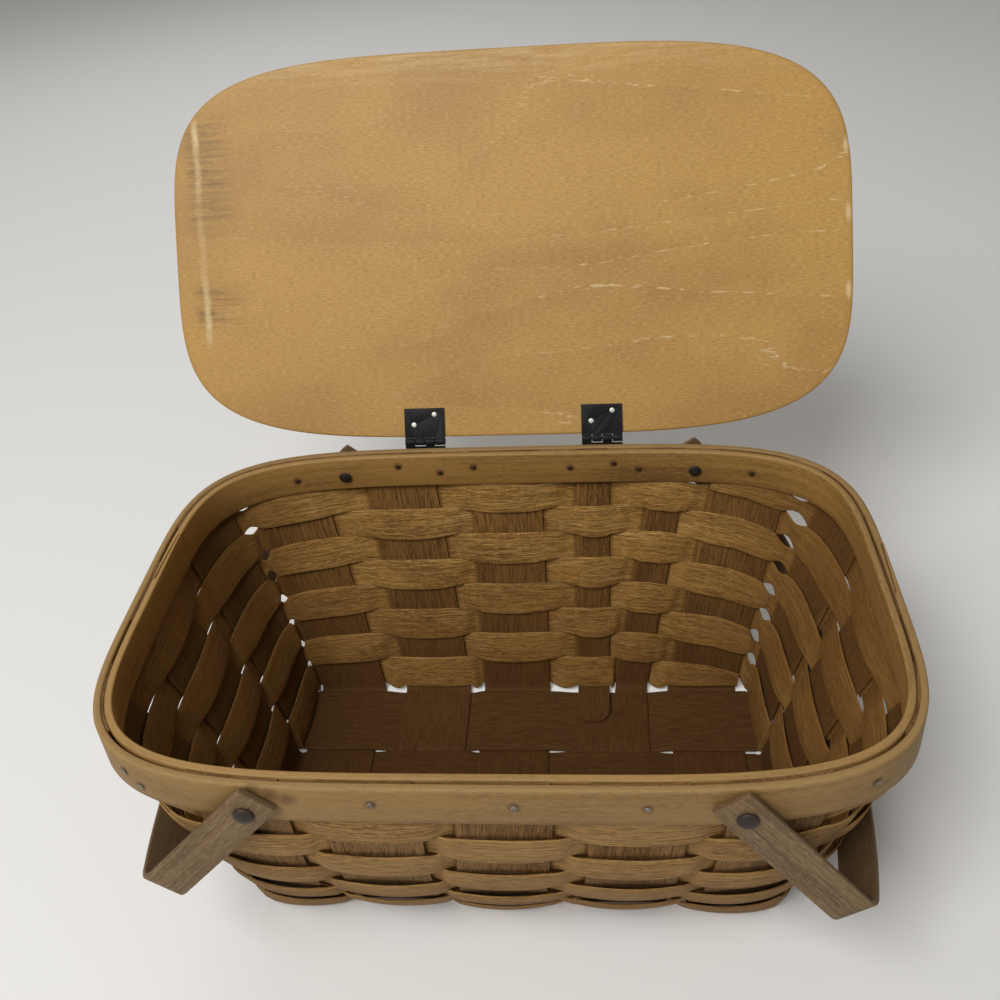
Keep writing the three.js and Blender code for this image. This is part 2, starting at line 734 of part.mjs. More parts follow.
[['left', -1], ['right', 1]].forEach(([name, side]) => {
  const x = hingeShift + (side * hingeSpacing) / 2;
  const lidNailHoles = [];
  const rimNailHoles = [];
  nailPlaces.forEach(({ side: across, reach }, k) => {
    const lidNail = new THREE.Vector3(x + across, lidRear - reach, leafLower);
    const lidSeat = lidNail.clone().addScaledVector(under, leafNailGap);
    add(lid, `lid_leaf_nail_${name}_${k + 1}`, place(nailShape, lidSeat, under), nailSteel);
    lidNailHoles.push(hole(nailShankRadius + fit, 2 * leafThickness + 2 * fit, lidNail, under));
    lidHoles.push(hole(nailShankRadius + fit, 2 * nailDepth, lidNail, under));
    const rimNail = new THREE.Vector3(x + across, rimLeafOuter, leafStart - reach);
    const rimSeat = rimNail.clone().addScaledVector(outward, leafNailGap).add(pin);
    add(basket, `rim_leaf_nail_${name}_${k + 1}`, place(nailShape, rimSeat, outward), nailSteel);
    rimNailHoles.push(hole(nailShankRadius + fit, 2 * leafThickness + 2 * fit, rimNail, outward));
    outerHoles.push(hole(nailShankRadius + fit, 2 * nailDepth + 2 * fit, rimNail.clone().add(pin), outward));
  });
  const lidLeaf = leaf(
    x, 1, [leafStart - leafLength, leafLower], [leafStart, leafUpper],
    [leafStart - fit, leafLower], [-tabEnd, leafUpper], lidNailHoles,
  );
  add(lid, `hinge_lid_leaf_${name}`, lidLeaf, hingeSteel);
  const rimLeaf = leaf(
    x, 0, [rimLeafInner, leafStart - leafLength], [rimLeafOuter, leafStart],
    [rimLeafInner, leafStart - fit], [rimLeafOuter, -tabEnd], rimNailHoles,
  );
  add(basket, `hinge_rim_leaf_${name}`, rimLeaf, hingeSteel).position.copy(pin);
  const rod = new THREE.CylinderGeometry(pinRadius, pinRadius, hingeWidth, 12).rotateZ(Math.PI / 2);
  add(basket, `hinge_pin_${name}`, rod, hingeSteel).position.copy(pin).setX(x);
});

add(basket, 'outer_rim', cut(band(bandInset, outerLapAngle), outerHoles), rimWood);
add(basket, 'inner_rim', cut(band(-bandOutside, innerLapAngle), innerHoles), rimWood);

// The lid, drawn closed about the hinge pins

function lidOutline() {
  const points = [];
  const sides = 72;
  for (let k = 0; k < sides; k++) {
    const angle = (2 * Math.PI * k) / sides;
    const c = Math.cos(angle);
    const s = Math.sin(angle);
    const reach = (Math.abs(c) ** lidSquareness + Math.abs(s) ** lidSquareness) ** (-1 / lidSquareness);
    points.push(new THREE.Vector2((lidLength / 2) * reach * c, (lidDepth / 2) * reach * s));
  }
  return new THREE.Shape(points);
}

const board = new THREE.ExtrudeGeometry(lidOutline(), {
  depth: lidThickness - 2 * lidEdgeEase,
  bevelSize: lidEdgeEase,
  bevelThickness: lidEdgeEase,
  bevelOffset: -lidEdgeEase,
  bevelSegments: 1,
}).translate(lidShift, lidRear - lidDepth / 2, lidUnder + lidEdgeEase);
add(lid, 'lid', cut(board, lidHoles), lidWood);

// Swing handles: a flat strap with straight legs and a bowed grip, drawn along X from its pivot

function strapOutline(reach) {
  const half = strapThickness / 2;
  const bowCentre = reach - handleBow;
  const cornerSide = strapMiddle - handleCorner;
  const cornerReach = bowCentre + Math.sqrt((handleBow - handleCorner) ** 2 - cornerSide ** 2);
  const meeting = Math.atan2(cornerSide, cornerReach - bowCentre);
  const shape = new THREE.Shape();
  shape.moveTo(-strapEnd, strapOutside);
  shape.lineTo(cornerReach, strapOutside);
  shape.absarc(cornerReach, cornerSide, handleCorner + half, Math.PI / 2, meeting, true);
  shape.absarc(bowCentre, 0, handleBow + half, meeting, -meeting, true);
  shape.absarc(cornerReach, -cornerSide, handleCorner + half, -meeting, -Math.PI / 2, true);
  shape.lineTo(-strapEnd, -strapOutside);
  shape.lineTo(-strapEnd, -strapInside);
  shape.lineTo(cornerReach, -strapInside);
  shape.absarc(cornerReach, -cornerSide, handleCorner - half, -Math.PI / 2, -meeting, false);
  shape.absarc(bowCentre, 0, handleBow - half, -meeting, meeting, false);
  shape.absarc(cornerReach, cornerSide, handleCorner - half, meeting, Math.PI / 2, false);
  shape.lineTo(-strapEnd, strapInside);
  return shape;
}

const strapCurve = 10;
const strapBore = hole(rivetShankRadius + fit, rimDepth * 2, new THREE.Vector3(), headUp);

function strap(outline) {
  const band = new THREE.ExtrudeGeometry(outline, {
    depth: strapWidth,
    bevelEnabled: false,
    curveSegments: strapCurve,
  });
  return cut(band.translate(0, 0, -strapWidth / 2), [strapBore]);
}

// How far a handle hangs below level before its grip meets the weave, which is thicker where it is spliced.
function hangAngle(side, outline) {
  const proud = side.weaveFace + weaverThickness / 2 + handleWallGap;
  const grip = outline.getPoints(strapCurve).flatMap(({ x, y }) =>
    [-1, 1].map((edge) => new THREE.Vector3(x, y, (edge * strapWidth) / 2)));
  const isClear = (angle) =>
    grip.every((point) => {
      const x = Math.abs(side.x) + point.x * Math.cos(angle) + point.z * Math.sin(angle);
      const z = pivotHeight - point.x * Math.sin(angle) + point.z * Math.cos(angle);
      const { halfLength, halfDepth, power } = wallShape(z);
      const along = x / (halfLength + proud);
      const across = point.y / (halfDepth(along, point.y) + proud);
      return along ** power + Math.abs(across) ** power > 1;
    });
  let clear = 0;
  let touching = Math.PI / 2;
  for (let k = 0; k < 30; k++) {
    const middle = (clear + touching) / 2;
    if (isClear(middle)) {
      clear = middle;
    } else {
      touching = middle;
    }
  }
  return clear;
}

for (const side of pivotSides) {
  const outline = strapOutline(side.reach);
  const pivot = new THREE.Group();
  pivot.position.set(side.x, 0, pivotHeight);
  pivot.rotation.set(0, side.out * hangAngle(side, outline), side.out < 0 ? Math.PI : 0);
  basket.add(pivot);
  add(pivot, `handle_${side.name}`, strap(outline), handleWood);
}

export default basket;
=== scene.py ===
"""Splint picnic basket: woven body, bent rim, hinged lid and swing handles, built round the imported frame."""

import json
import math

import bmesh
import bpy
import numpy as np
from bpy.props import FloatProperty, FloatVectorProperty, IntProperty, PointerProperty
from mathutils import Matrix, Vector, noise


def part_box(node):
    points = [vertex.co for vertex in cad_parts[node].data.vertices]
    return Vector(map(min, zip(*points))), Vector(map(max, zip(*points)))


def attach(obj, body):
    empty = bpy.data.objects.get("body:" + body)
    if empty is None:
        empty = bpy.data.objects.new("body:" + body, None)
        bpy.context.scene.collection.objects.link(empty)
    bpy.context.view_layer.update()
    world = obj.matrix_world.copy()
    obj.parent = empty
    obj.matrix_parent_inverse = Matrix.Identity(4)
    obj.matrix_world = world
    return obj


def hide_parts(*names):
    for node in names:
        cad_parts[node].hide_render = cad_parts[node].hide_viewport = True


bl_info = {
    "name": "Splint Picnic Basket",
    "version": (1, 0, 0),
    "blender": (4, 5, 0),
    "location": "View3D > Sidebar > Basket",
    "description": "Dresses a woven splint basket with a hinged lid and swing handles",
    "category": "Object",
}

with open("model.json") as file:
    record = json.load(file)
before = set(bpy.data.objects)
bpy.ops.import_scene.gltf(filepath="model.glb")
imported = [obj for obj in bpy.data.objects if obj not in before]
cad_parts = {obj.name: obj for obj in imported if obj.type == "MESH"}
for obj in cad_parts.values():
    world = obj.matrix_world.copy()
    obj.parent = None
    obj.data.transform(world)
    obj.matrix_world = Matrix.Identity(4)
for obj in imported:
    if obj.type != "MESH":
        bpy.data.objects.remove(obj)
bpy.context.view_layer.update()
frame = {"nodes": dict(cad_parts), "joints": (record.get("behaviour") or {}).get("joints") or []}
RIM_LOW, RIM_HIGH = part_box("outer_rim")
JOINTS = {joint["name"]: joint for joint in frame["joints"]}


# Sizes and colours that a user may change


def size(name, default, description):
    """A length property in metres."""
    return FloatProperty(name=name, description=description, default=default, unit="LENGTH", precision=4)


def number(name, default, description):
    """A plain number property."""
    return FloatProperty(name=name, description=description, default=default, precision=3)


def count(name, default, description):
    """A whole number property."""
    return IntProperty(name=name, description=description, default=default, min=1)


def angle(name, default, description):
    """An angle property, its default given in degrees."""
    return FloatProperty(name=name, description=description, default=math.radians(default), unit="ROTATION")


def colour(name, default, description):
    """A linear colour property."""
    return FloatVectorProperty(
        name=name, description=description, default=default, subtype="COLOR", size=3, min=0, max=1
    )


def position(name, default, description):
    """A place property in metres."""
    return FloatVectorProperty(
        name=name, description=description, default=default, subtype="TRANSLATION", unit="LENGTH", size=3
    )


class BodySizes(bpy.types.PropertyGroup):
    """Sizes of the woven body and its rim."""

    rim_squareness: number("Rim squareness", 4.6, "Power of the rim's rounded outline")
    floor_squareness: number("Floor squareness", 40, "Power of the floor's outline")
    rounding_ease: number("Rounding ease", 0.75, "How soon the corners round as the wall rises")
    end_flare: number("End flare", 1.2, "How much more the end walls flare near the rim")
    front_bulge: size("Front bulge", 0.011, "How far the front bulges between the floor and the rim")
    bulge_squareness: number("Bulge squareness", 4, "How late the bulge fades towards the corners")
    floor_margin: size("Floor margin", 0.0045, "Room between the outer splints and the wall's foot")
    stake_thickness: size("Stake thickness", 0.0014, "Thickness of the floor and wall splints")
    weaver_thickness: size("Weaver thickness", 0.0012, "Thickness of the woven strips")
    splint_gap: size("Splint gap", 0.00043, "Clearance between crossing splints")
    crosswise_count: count("Crosswise splints", 5, "Splints that run from back to front")
    crosswise_width: size("Crosswise width", 0.047, "Width of the crosswise splints")
    crosswise_floor_pitch: size("Crosswise floor pitch", 0.062, "Spacing of crosswise splints on the floor")
    crosswise_floor_shift: size("Crosswise floor shift", -0.003, "Sideways shift of the crosswise splints")
    back_rim_pitch: size("Back rim pitch", 0.078, "Spacing of the crosswise splints at the rim's back")
    back_rim_shift: size("Back rim shift", -0.003, "Sideways shift of crosswise splints at the rim's back")
    front_rim_pitch: size("Front rim pitch", 0.0645, "Spacing of the crosswise splints at the rim's front")
    front_rim_shift: size("Front rim shift", 0.005, "Sideways shift of crosswise splints at the rim's front")
    middle_drift: size("Middle drift", -0.0055, "How far the middle crosswise splint lies to the side")
    lengthwise_count: count("Lengthwise splints", 3, "Splints that run from end to end")
    lengthwise_width: size("Lengthwise width", 0.047, "Width of the lengthwise splints")
    lengthwise_floor_swell: size("Lengthwise floor swell", 0.0013, "Added half width on the floor")
    lengthwise_floor_pitch: size("Lengthwise floor pitch", 0.0505, "Spacing of these splints on the floor")
    lengthwise_rim_pitch: size("Lengthwise rim pitch", 0.078, "Spacing of the lengthwise splints at the rim")
    split_width: size("Split width", 0.022, "Width of each half of the split stake")
    split_floor_spacing: size("Split floor spacing", 0.026, "Spacing of a split stake's halves at the floor")
    split_rim_spacing: size("Split rim spacing", 0.05, "Spacing of the split stake's halves at the rim")
    split_tail: size("Split tail", 0.027, "Length of the added stake's tail on the floor")
    split_widening: size("Split widening", 0.012, "Length over which the split splint regains its width")
    stake_drop: size("Stake drop", 0.0006, "How far the stakes end below the rim's top")
    bend_rise: size("Bend rise", 0.0036, "Height of the bend from floor to wall")
    bend_reach: size("Bend reach", 0.0034, "Reach of the bend onto the floor")
    edge_roughness: size("Edge roughness", 0.0003, "How uneven the edges of the splints are")
    row_count: count("Rows", 8, "Turns of the spiral weave")
    row_gap: size("Row gap", 0.0001, "Gap between neighbouring rows")
    lowest_row: size("Lowest row", 0.008, "Height of the lowest row's edge")
    weave_rim_gap: size("Weave to rim gap", 0.001, "Gap between the top row and the rim")
    stake_margin: size("Stake margin", 0.001, "How far a weaver runs past a stake's edges before it dives")
    weaver_swell: size("Weaver swell", 0.0014, "How far a weaver's lower edge sags over a stake")
    weaver_overlap: size("Weaver overlap", 0.0011, "How far rows reach over each other beside the stakes")
    lowest_sag: size("Lowest sag", 0.005, "How far the lowest row's edge sags between the stakes")
    lowest_tuck: size("Lowest tuck", 0.0014, "How far the lowest row's edge turns inwards between the stakes")
    corner_gap: size("Corner gap", 0.0037, "How far a row's edges part from their neighbours round a corner")
    weaver_crown: size("Weaver crown", 0.0018, "How far a weaver bows out over a stake inside the basket")
    outer_crown: size("Outer crown", 0.0008, "How far the top weaver bows out over a stake outside")
    low_crown: size("Low crown", 0.0024, "How far the lowest weaver bows out over a stake outside")
    end_crown: size("End crown", 0.0004, "How far a weaver bows out on the ends, where the handles rest")
    weaver_cup: size("Weaver cup", 0.0004, "How far a weaver's middle stands out from its edges")
    band_thickness: size("Band thickness", 0.0036, "Thickness of each rim band")
    band_clearance: size("Band clearance", 0.00055, "Clearance between the stakes and the rim bands")
    band_fill: size("Band fill", 0.0005, "How far the rim bands swell towards the stakes")
    band_round: size("Band rounding", 0.0012, "Rounding of the rim bands' edges")
    lap_tip: size("Lap tip", 0.001, "Thickness of a rim band's thinned end")
    band_lap: number("Band lap", 0.3, "Length of a rim band's lap, in radians")
    inner_lap: angle("Inner lap", 176, "Direction of the inner band's lap")
    outer_lap: angle("Outer lap", 14, "Direction of the outer band's lap")


class FittingSizes(bpy.types.PropertyGroup):
    """Sizes of the lid, the handles and the fasteners."""

    lid_length: size("Lid length", 0.45, "Length of the lid")
    lid_depth: size("Lid depth", 0.256, "Depth of the lid")
    lid_thickness: size("Lid thickness", 0.004, "Thickness of the lid")
    lid_shift: size("Lid shift", -0.0034, "Sideways place of the lid's middle")
    lid_squareness: number("Lid squareness", 4.13, "Power of the lid's rounded outline")
    lid_round: size("Lid rounding", 0.0011, "Rounding of the lid's edge")
    lid_setback: size("Lid setback", 0.0002, "How far the lid's rear edge stays inside the rim's back")
    lid_rest_gap: size("Lid rest gap", 0.0026, "Gap between the rim and the closed lid")
    strap_width: size("Strap width", 0.022, "Width of the handle straps")
    strap_thickness: size("Strap thickness", 0.0029, "Thickness of the handle straps")
    strap_gap: size("Strap gap", 0.00035, "Gap between the rim and the straps")
    strap_end: size("Strap end", 0.0127, "Length of strap beyond its rivet")
    strap_round: size("Strap rounding", 0.0008, "Rounding of the straps' edges")
    left_reach: size("Left handle reach", 0.118, "Distance from the left pivot to the grip")
    right_reach: size("Right handle reach", 0.127, "Distance from the right pivot to the grip")
    handle_bow: size("Handle bow", 0.298, "Radius of the grip's bow")
    handle_corner: size("Handle corner", 0.015, "Radius of the handle's corners")
    nail_head_radius: size("Nail head radius", 0.0018, "Radius of the nail heads")
    nail_shank_radius: size("Nail shank radius", 0.0008, "Radius of the nail shanks")
    nail_head_height: size("Nail head height", 0.0005, "Height of the nail heads")
    nail_depth: size("Nail depth", 0.0024, "Depth of the nail shanks")
    rivet_head_radius: size("Rivet head radius", 0.0052, "Radius of the domed rivet heads")
    rivet_head_height: size("Rivet head height", 0.0026, "Height of the domed rivet heads")
    rivet_shank_radius: size("Rivet shank radius", 0.0022, "Radius of the rivet shanks")
    rivet_burr_radius: size("Rivet burr radius", 0.004, "Radius of the burrs inside the rim")
    rivet_burr_height: size("Rivet burr height", 0.001, "Height of the burrs inside the rim")
    hinge_round: size("Hinge rounding", 0.00018, "Rounding of the hinge leaves' edges")


class Colours(bpy.types.PropertyGroup):
    """Colours of the finishes."""

    # The dark colours of the stakes, weavers, rim and handles, and the lid's dark colour, also carry painted
    # shade
    stake_dark: colour("Stake dark", (0.082, 0.034, 0.007), "Dark grain of the stakes")
    stake: colour("Stake", (0.2, 0.093, 0.0215), "Main colour of the stakes")
    stake_pale: colour("Stake pale", (0.34, 0.185, 0.054), "Pale grain of the stakes")
    weaver_dark: colour("Weaver dark", (0.15, 0.066, 0.0125), "Dark grain of the weavers")
    weaver: colour("Weaver", (0.32, 0.162, 0.036), "Main colour of the weavers")
    weaver_pale: colour("Weaver pale", (0.55, 0.335, 0.115), "Pale streaks of the weavers")
    weathered: colour("Weathered", (0.27, 0.172, 0.08), "Greyed outside of the splints")
    rim_dark: colour("Rim dark", (0.15, 0.075, 0.018), "Dark grain of the rim")
    rim: colour("Rim", (0.26, 0.152, 0.046), "Main colour of the rim")
    inner_rim: colour("Inner rim", (0.36, 0.192, 0.047), "Main colour of the inner rim band")
    rim_pale: colour("Rim pale", (0.38, 0.24, 0.095), "Worn edges of the rim")
    lid_dark: colour("Lid dark", (0.36, 0.192, 0.047), "Mottled parts of the lid")
    lid: colour("Lid", (0.47, 0.268, 0.066), "Main colour of the lid")
    lid_pale: colour("Lid pale", (0.63, 0.41, 0.148), "Pale streaks of the lid")
    lid_cream: colour("Lid cream", (0.72, 0.55, 0.29), "Bare dashes and rubs on the lid")
    lid_stain: colour("Lid stain", (0.12, 0.065, 0.025), "Smudges on the lid")
    handle_dark: colour("Handle dark", (0.1, 0.055, 0.023), "Dark grain of the handles")
    handle: colour("Handle", (0.178, 0.11, 0.048), "Main colour of the handles")
    handle_pale: colour("Handle pale", (0.33, 0.235, 0.13), "Worn grain of the handles")
    hinge: colour("Hinge", (0.008, 0.008, 0.0085), "Black paint of the hinges")
    bare_steel: colour("Bare steel", (0.55, 0.53, 0.48), "Nail heads and worn metal")
    worn_nail: colour("Worn nail", (0.22, 0.19, 0.15), "Dulled nail heads on the rim")
    rust: colour("Rust", (0.07, 0.028, 0.01), "Rust on the fasteners")
    rivet: colour("Rivet", (0.028, 0.022, 0.018), "Tarnished rivets")
    floor: colour("Floor", (0.86, 0.85, 0.825), "Plain floor")
    sky: colour("Sky", (1.0, 0.985, 0.96), "Even light from all round")
    backdrop: colour("Backdrop", (0.6, 0.615, 0.63), "Plain background")


class StageSettings(bpy.types.PropertyGroup):
    """Camera and light."""

    camera_place: position("Camera place", (0.0556, -0.4294, 0.5963), "Where the camera stands")
    camera_yaw: angle("Camera yaw", -6.1, "Turn of the view to the right")
    camera_pitch: angle("Camera pitch", 31.7, "Tilt of the view downwards")
    camera_roll: angle("Camera roll", -4.9, "Roll of the view")
    camera_lens: number("Camera lens", 37.55, "Focal length in millimetres on a 36 mm sensor")
    camera_shift_x: number("Camera shift X", -0.003, "Sideways shift of the picture")
    camera_shift_y: number("Camera shift Y", -0.142, "Upward shift of the picture")
    key_place: position("Key place", (-0.65, -1.1, 1.87), "Where the main soft light stands")
    key_aim: position("Key aim", (0, 0.05, 0.15), "Where the main soft light points")
    key_width: size("Key width", 1.1, "Width of the main soft light")
    key_power: number("Key power", 40, "Power of the main soft light in watts")
    back_place: position("Back place", (-0.7, 1.7, 1.5), "Where the light behind stands")
    back_aim: position("Back aim", (0, 0.3, 0.1), "Where the light behind points")
    back_width: size("Back width", 1.2, "Width of the light behind")
    back_power: number("Back power", 8, "Power of the light behind in watts")
    sky_strength: number("Sky strength", 0.18, "Strength of the even light from all round")
    floor_reach: size("Floor reach", 4, "Half the width of the floor")


# Shapes

# Edges that bend more than this stay sharp
SMOOTH_ANGLE = math.radians(48)
# How far apart the grain of two pieces lies, along them and around them
GRAIN_STEP = (1.7, 0.9)
# How much of a quarter turn a rounded end makes, so that it ends in a small flat
SHORT_OF_TIP = 0.97


def lerp(start, end, share):
    """The value a share of the way from start to end."""
    return start + (end - start) * share


def ease(share):
    """A smooth step from 0 to 1."""
    return share * share * (3 - 2 * share)


def unit(vectors):
    """The vectors scaled to length one."""
    return vectors / np.linalg.norm(vectors, axis=-1, keepdims=True)


def superellipse(direction, power):
    """The reach of a rounded rectangle of half size one in a direction."""
    return (np.abs(np.cos(direction)) ** power + np.abs(np.sin(direction)) ** power) ** (-1 / power)


def distances(points):
    """The distance along a line of points at each of them."""
    return np.concatenate([[0], np.cumsum(np.linalg.norm(np.diff(points, axis=0), axis=1))])


def rounded_rectangle(width, height, radius, steps=3):
    """The outline of a rectangle with rounded corners, counter-clockwise from its lower right."""
    corners = [(1, -1), (1, 1), (-1, 1), (-1, -1)]
    outline = []
    for turn, (right, up) in enumerate(corners):
        centre = np.array([right * (width / 2 - radius), up * (height / 2 - radius)])
        for step in range(steps + 1):
            direction = math.pi / 2 * (turn - 1 + step / steps)
            outline.append(centre + radius * np.array([math.cos(direction), math.sin(direction)]))
    return np.array(outline)


def add_uv(mesh, name, coordinates):
    """Adds a UV map with one pair for each face corner."""
    layer = mesh.uv_layers.new(name=name)
    layer.uv.foreach_set("vector", np.asarray(coordinates, np.float32).ravel())


def swept_mesh(name, rings, trim=None, seed=0.0, stand=None):
    """A closed mesh through a row of rings, with a grain map along it and a trim map around it.

    The seed moves the grain, so that no two pieces look alike. The stand map holds how far out of the wall
    each ring lies, from -1 inside to 1 outside.
    """
    rows, points = rings.shape[:2]
    index = np.arange(rows * points).reshape(rows, points)
    after = np.roll(index, -1, axis=1)
    quads = np.stack([index[:-1], after[:-1], after[1:], index[1:]], axis=-1).reshape(-1, 4)
    run = distances(rings.mean(axis=1)) + seed * GRAIN_STEP[0]
    middle_ring = rings[rows // 2]
    around = distances(np.concatenate([middle_ring, middle_ring[:1]])) + seed * GRAIN_STEP[1]
    trim = np.zeros((points, 2)) if trim is None else trim
    trim = np.concatenate([trim, trim[:1]])
    stand = np.zeros(rows) if stand is None else stand
    row, column = np.meshgrid(np.arange(rows - 1), np.arange(points), indexing="ij")
    corner_rows = np.stack([row, row, row + 1, row + 1], axis=-1).ravel()
    corner_columns = np.stack([column, column + 1, column + 1, column], axis=-1).ravel()
    cap_rows = np.repeat([0, rows - 1], points)
    cap_columns = np.concatenate([np.arange(points)[::-1], np.arange(points)])
    all_rows = np.concatenate([corner_rows, cap_rows])
    all_columns = np.concatenate([corner_columns, cap_columns])
    faces = quads.tolist() + [index[0][::-1].tolist(), index[-1].tolist()]
    mesh = bpy.data.meshes.new(name)
    mesh.from_pydata(rings.reshape(-1, 3).tolist(), [], faces)
    add_uv(mesh, "grain", np.stack([run[all_rows], around[all_columns]], axis=-1))
    add_uv(mesh, "trim", trim[all_columns])
    add_uv(mesh, "stand", np.stack([stand[all_rows], np.zeros(len(all_rows))], axis=-1))
    face_outwards(mesh)
    return mesh


def face_outwards(mesh):
    """Turns a closed mesh's faces outwards and shades it smooth between sharp edges."""
    work = bmesh.new()
    work.from_mesh(mesh)
    if work.calc_volume(signed=True) < 0:
        bmesh.ops.reverse_faces(work, faces=work.faces)
    work.to_mesh(mesh)
    work.free()
    mesh.shade_smooth()
    mesh.set_sharp_from_angle(angle=SMOOTH_ANGLE)


def turned_mesh(name, profile, place, axis, sides=24):
    """A mesh turned about an axis from (radius, height) pairs, which start and end near the axis."""
    direction = np.array(axis.normalized())
    side = np.array(axis.orthogonal().normalized())
    other = np.cross(direction, side)
    turn = np.linspace(0, 2 * math.pi, sides, endpoint=False)
    circle = np.cos(turn)[:, None] * side + np.sin(turn)[:, None] * other
    rings = np.array([np.array(place) + radius * circle + height * direction for radius, height in profile])
    return swept_mesh(name, rings)


def add_piece(mesh, look, body, nodes):
    """An object that rides on a body and stands for the frame's nodes."""
    piece = bpy.data.objects.new(mesh.name, mesh)
    bpy.context.scene.collection.objects.link(piece)
    mesh.materials.append(look)
    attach(piece, body)
    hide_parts(*nodes)


# The woven wall

# Which way each side of the basket faces
SIDES = {"back": (0, 1), "front": (0, -1), "right": (1, 0), "left": (-1, 0)}
# The points across a strip from edge to edge, its thickness there, and its trim map inside and outside
ACROSS = np.array([-1, -0.965, -0.9, -0.62, -0.3, 0, 0.3, 0.62, 0.9, 0.965, 1])
EDGE_THICKNESS = np.array([0.35, 0.8, 1, 1, 1, 1, 1, 1, 1, 0.8, 0.35])
STRIP_TRIM = np.concatenate([
    np.stack([(ACROSS + 1) / 2, np.zeros_like(ACROSS)], axis=-1),
    np.stack([(ACROSS[::-1] + 1) / 2, np.ones_like(ACROSS)], axis=-1),
])
# Stations along a splint on the wall and round its bend
WALL_STEPS = 44
BEND_STEPS = 8
# Stations along a weaver over a stake, between two stakes and round a corner
CROSSING_STEPS = 9
GAP_STEPS = 8
CORNER_STEPS = 18
# Stations along a rim band's lap and its plain stretch
LAP_STEPS = 9
BAND_STEPS = 288
# How far the split in a splint runs onto the floor, as a share of the added stake's tail
SPLIT_REACH = 0.6
# How far the weave's course lies over a stake on each side of its middle, in crossings
HALF_CROSSING = 0.35
# The crossings where one strip of the weave ends and the next one starts
SPLICES = (19, 35, 53, 71, 87, 103, 121)
# Where the spiral starts, and how far it runs on after its last turn, in crossings
WEAVE_START = -0.45
WEAVE_RUN_ON = 0.5
# How much of its drop to the next row the spiral makes before the turn ends
ROW_DROP_AT_CORNER = 0.35
# How much of the lowest row's sag is left at a stake
SAG_AT_STAKE = 0.55
# How quickly the uneven edges wander along a strip, in waves per metre
SLOW_WAVES = 45
QUICK_WAVES = 160
# How far apart the edges of two strips, and the holes of two corners, lie in the noise that varies them
EDGE_SEED_STEP = 7.3
HOLE_SEED_STEP = 3.7
# The step from a rim band's lap to its plain stretch, in radians
LAP_STEP = 0.004


class Stake:
    """An upright splint: its side of the basket, its width, and its middle at the floor and at the rim."""

    def __init__(self, side, width, floor_place, rim_place):
        self.side = side
        self.out_x, self.out_y = SIDES[side]
        self.width = width
        self.floor_place = floor_place
        self.rim_place = rim_place

    def centre(self, rise):
        """The middle's place along its side at a rise up the wall."""
        return lerp(self.floor_place, self.rim_place, rise)


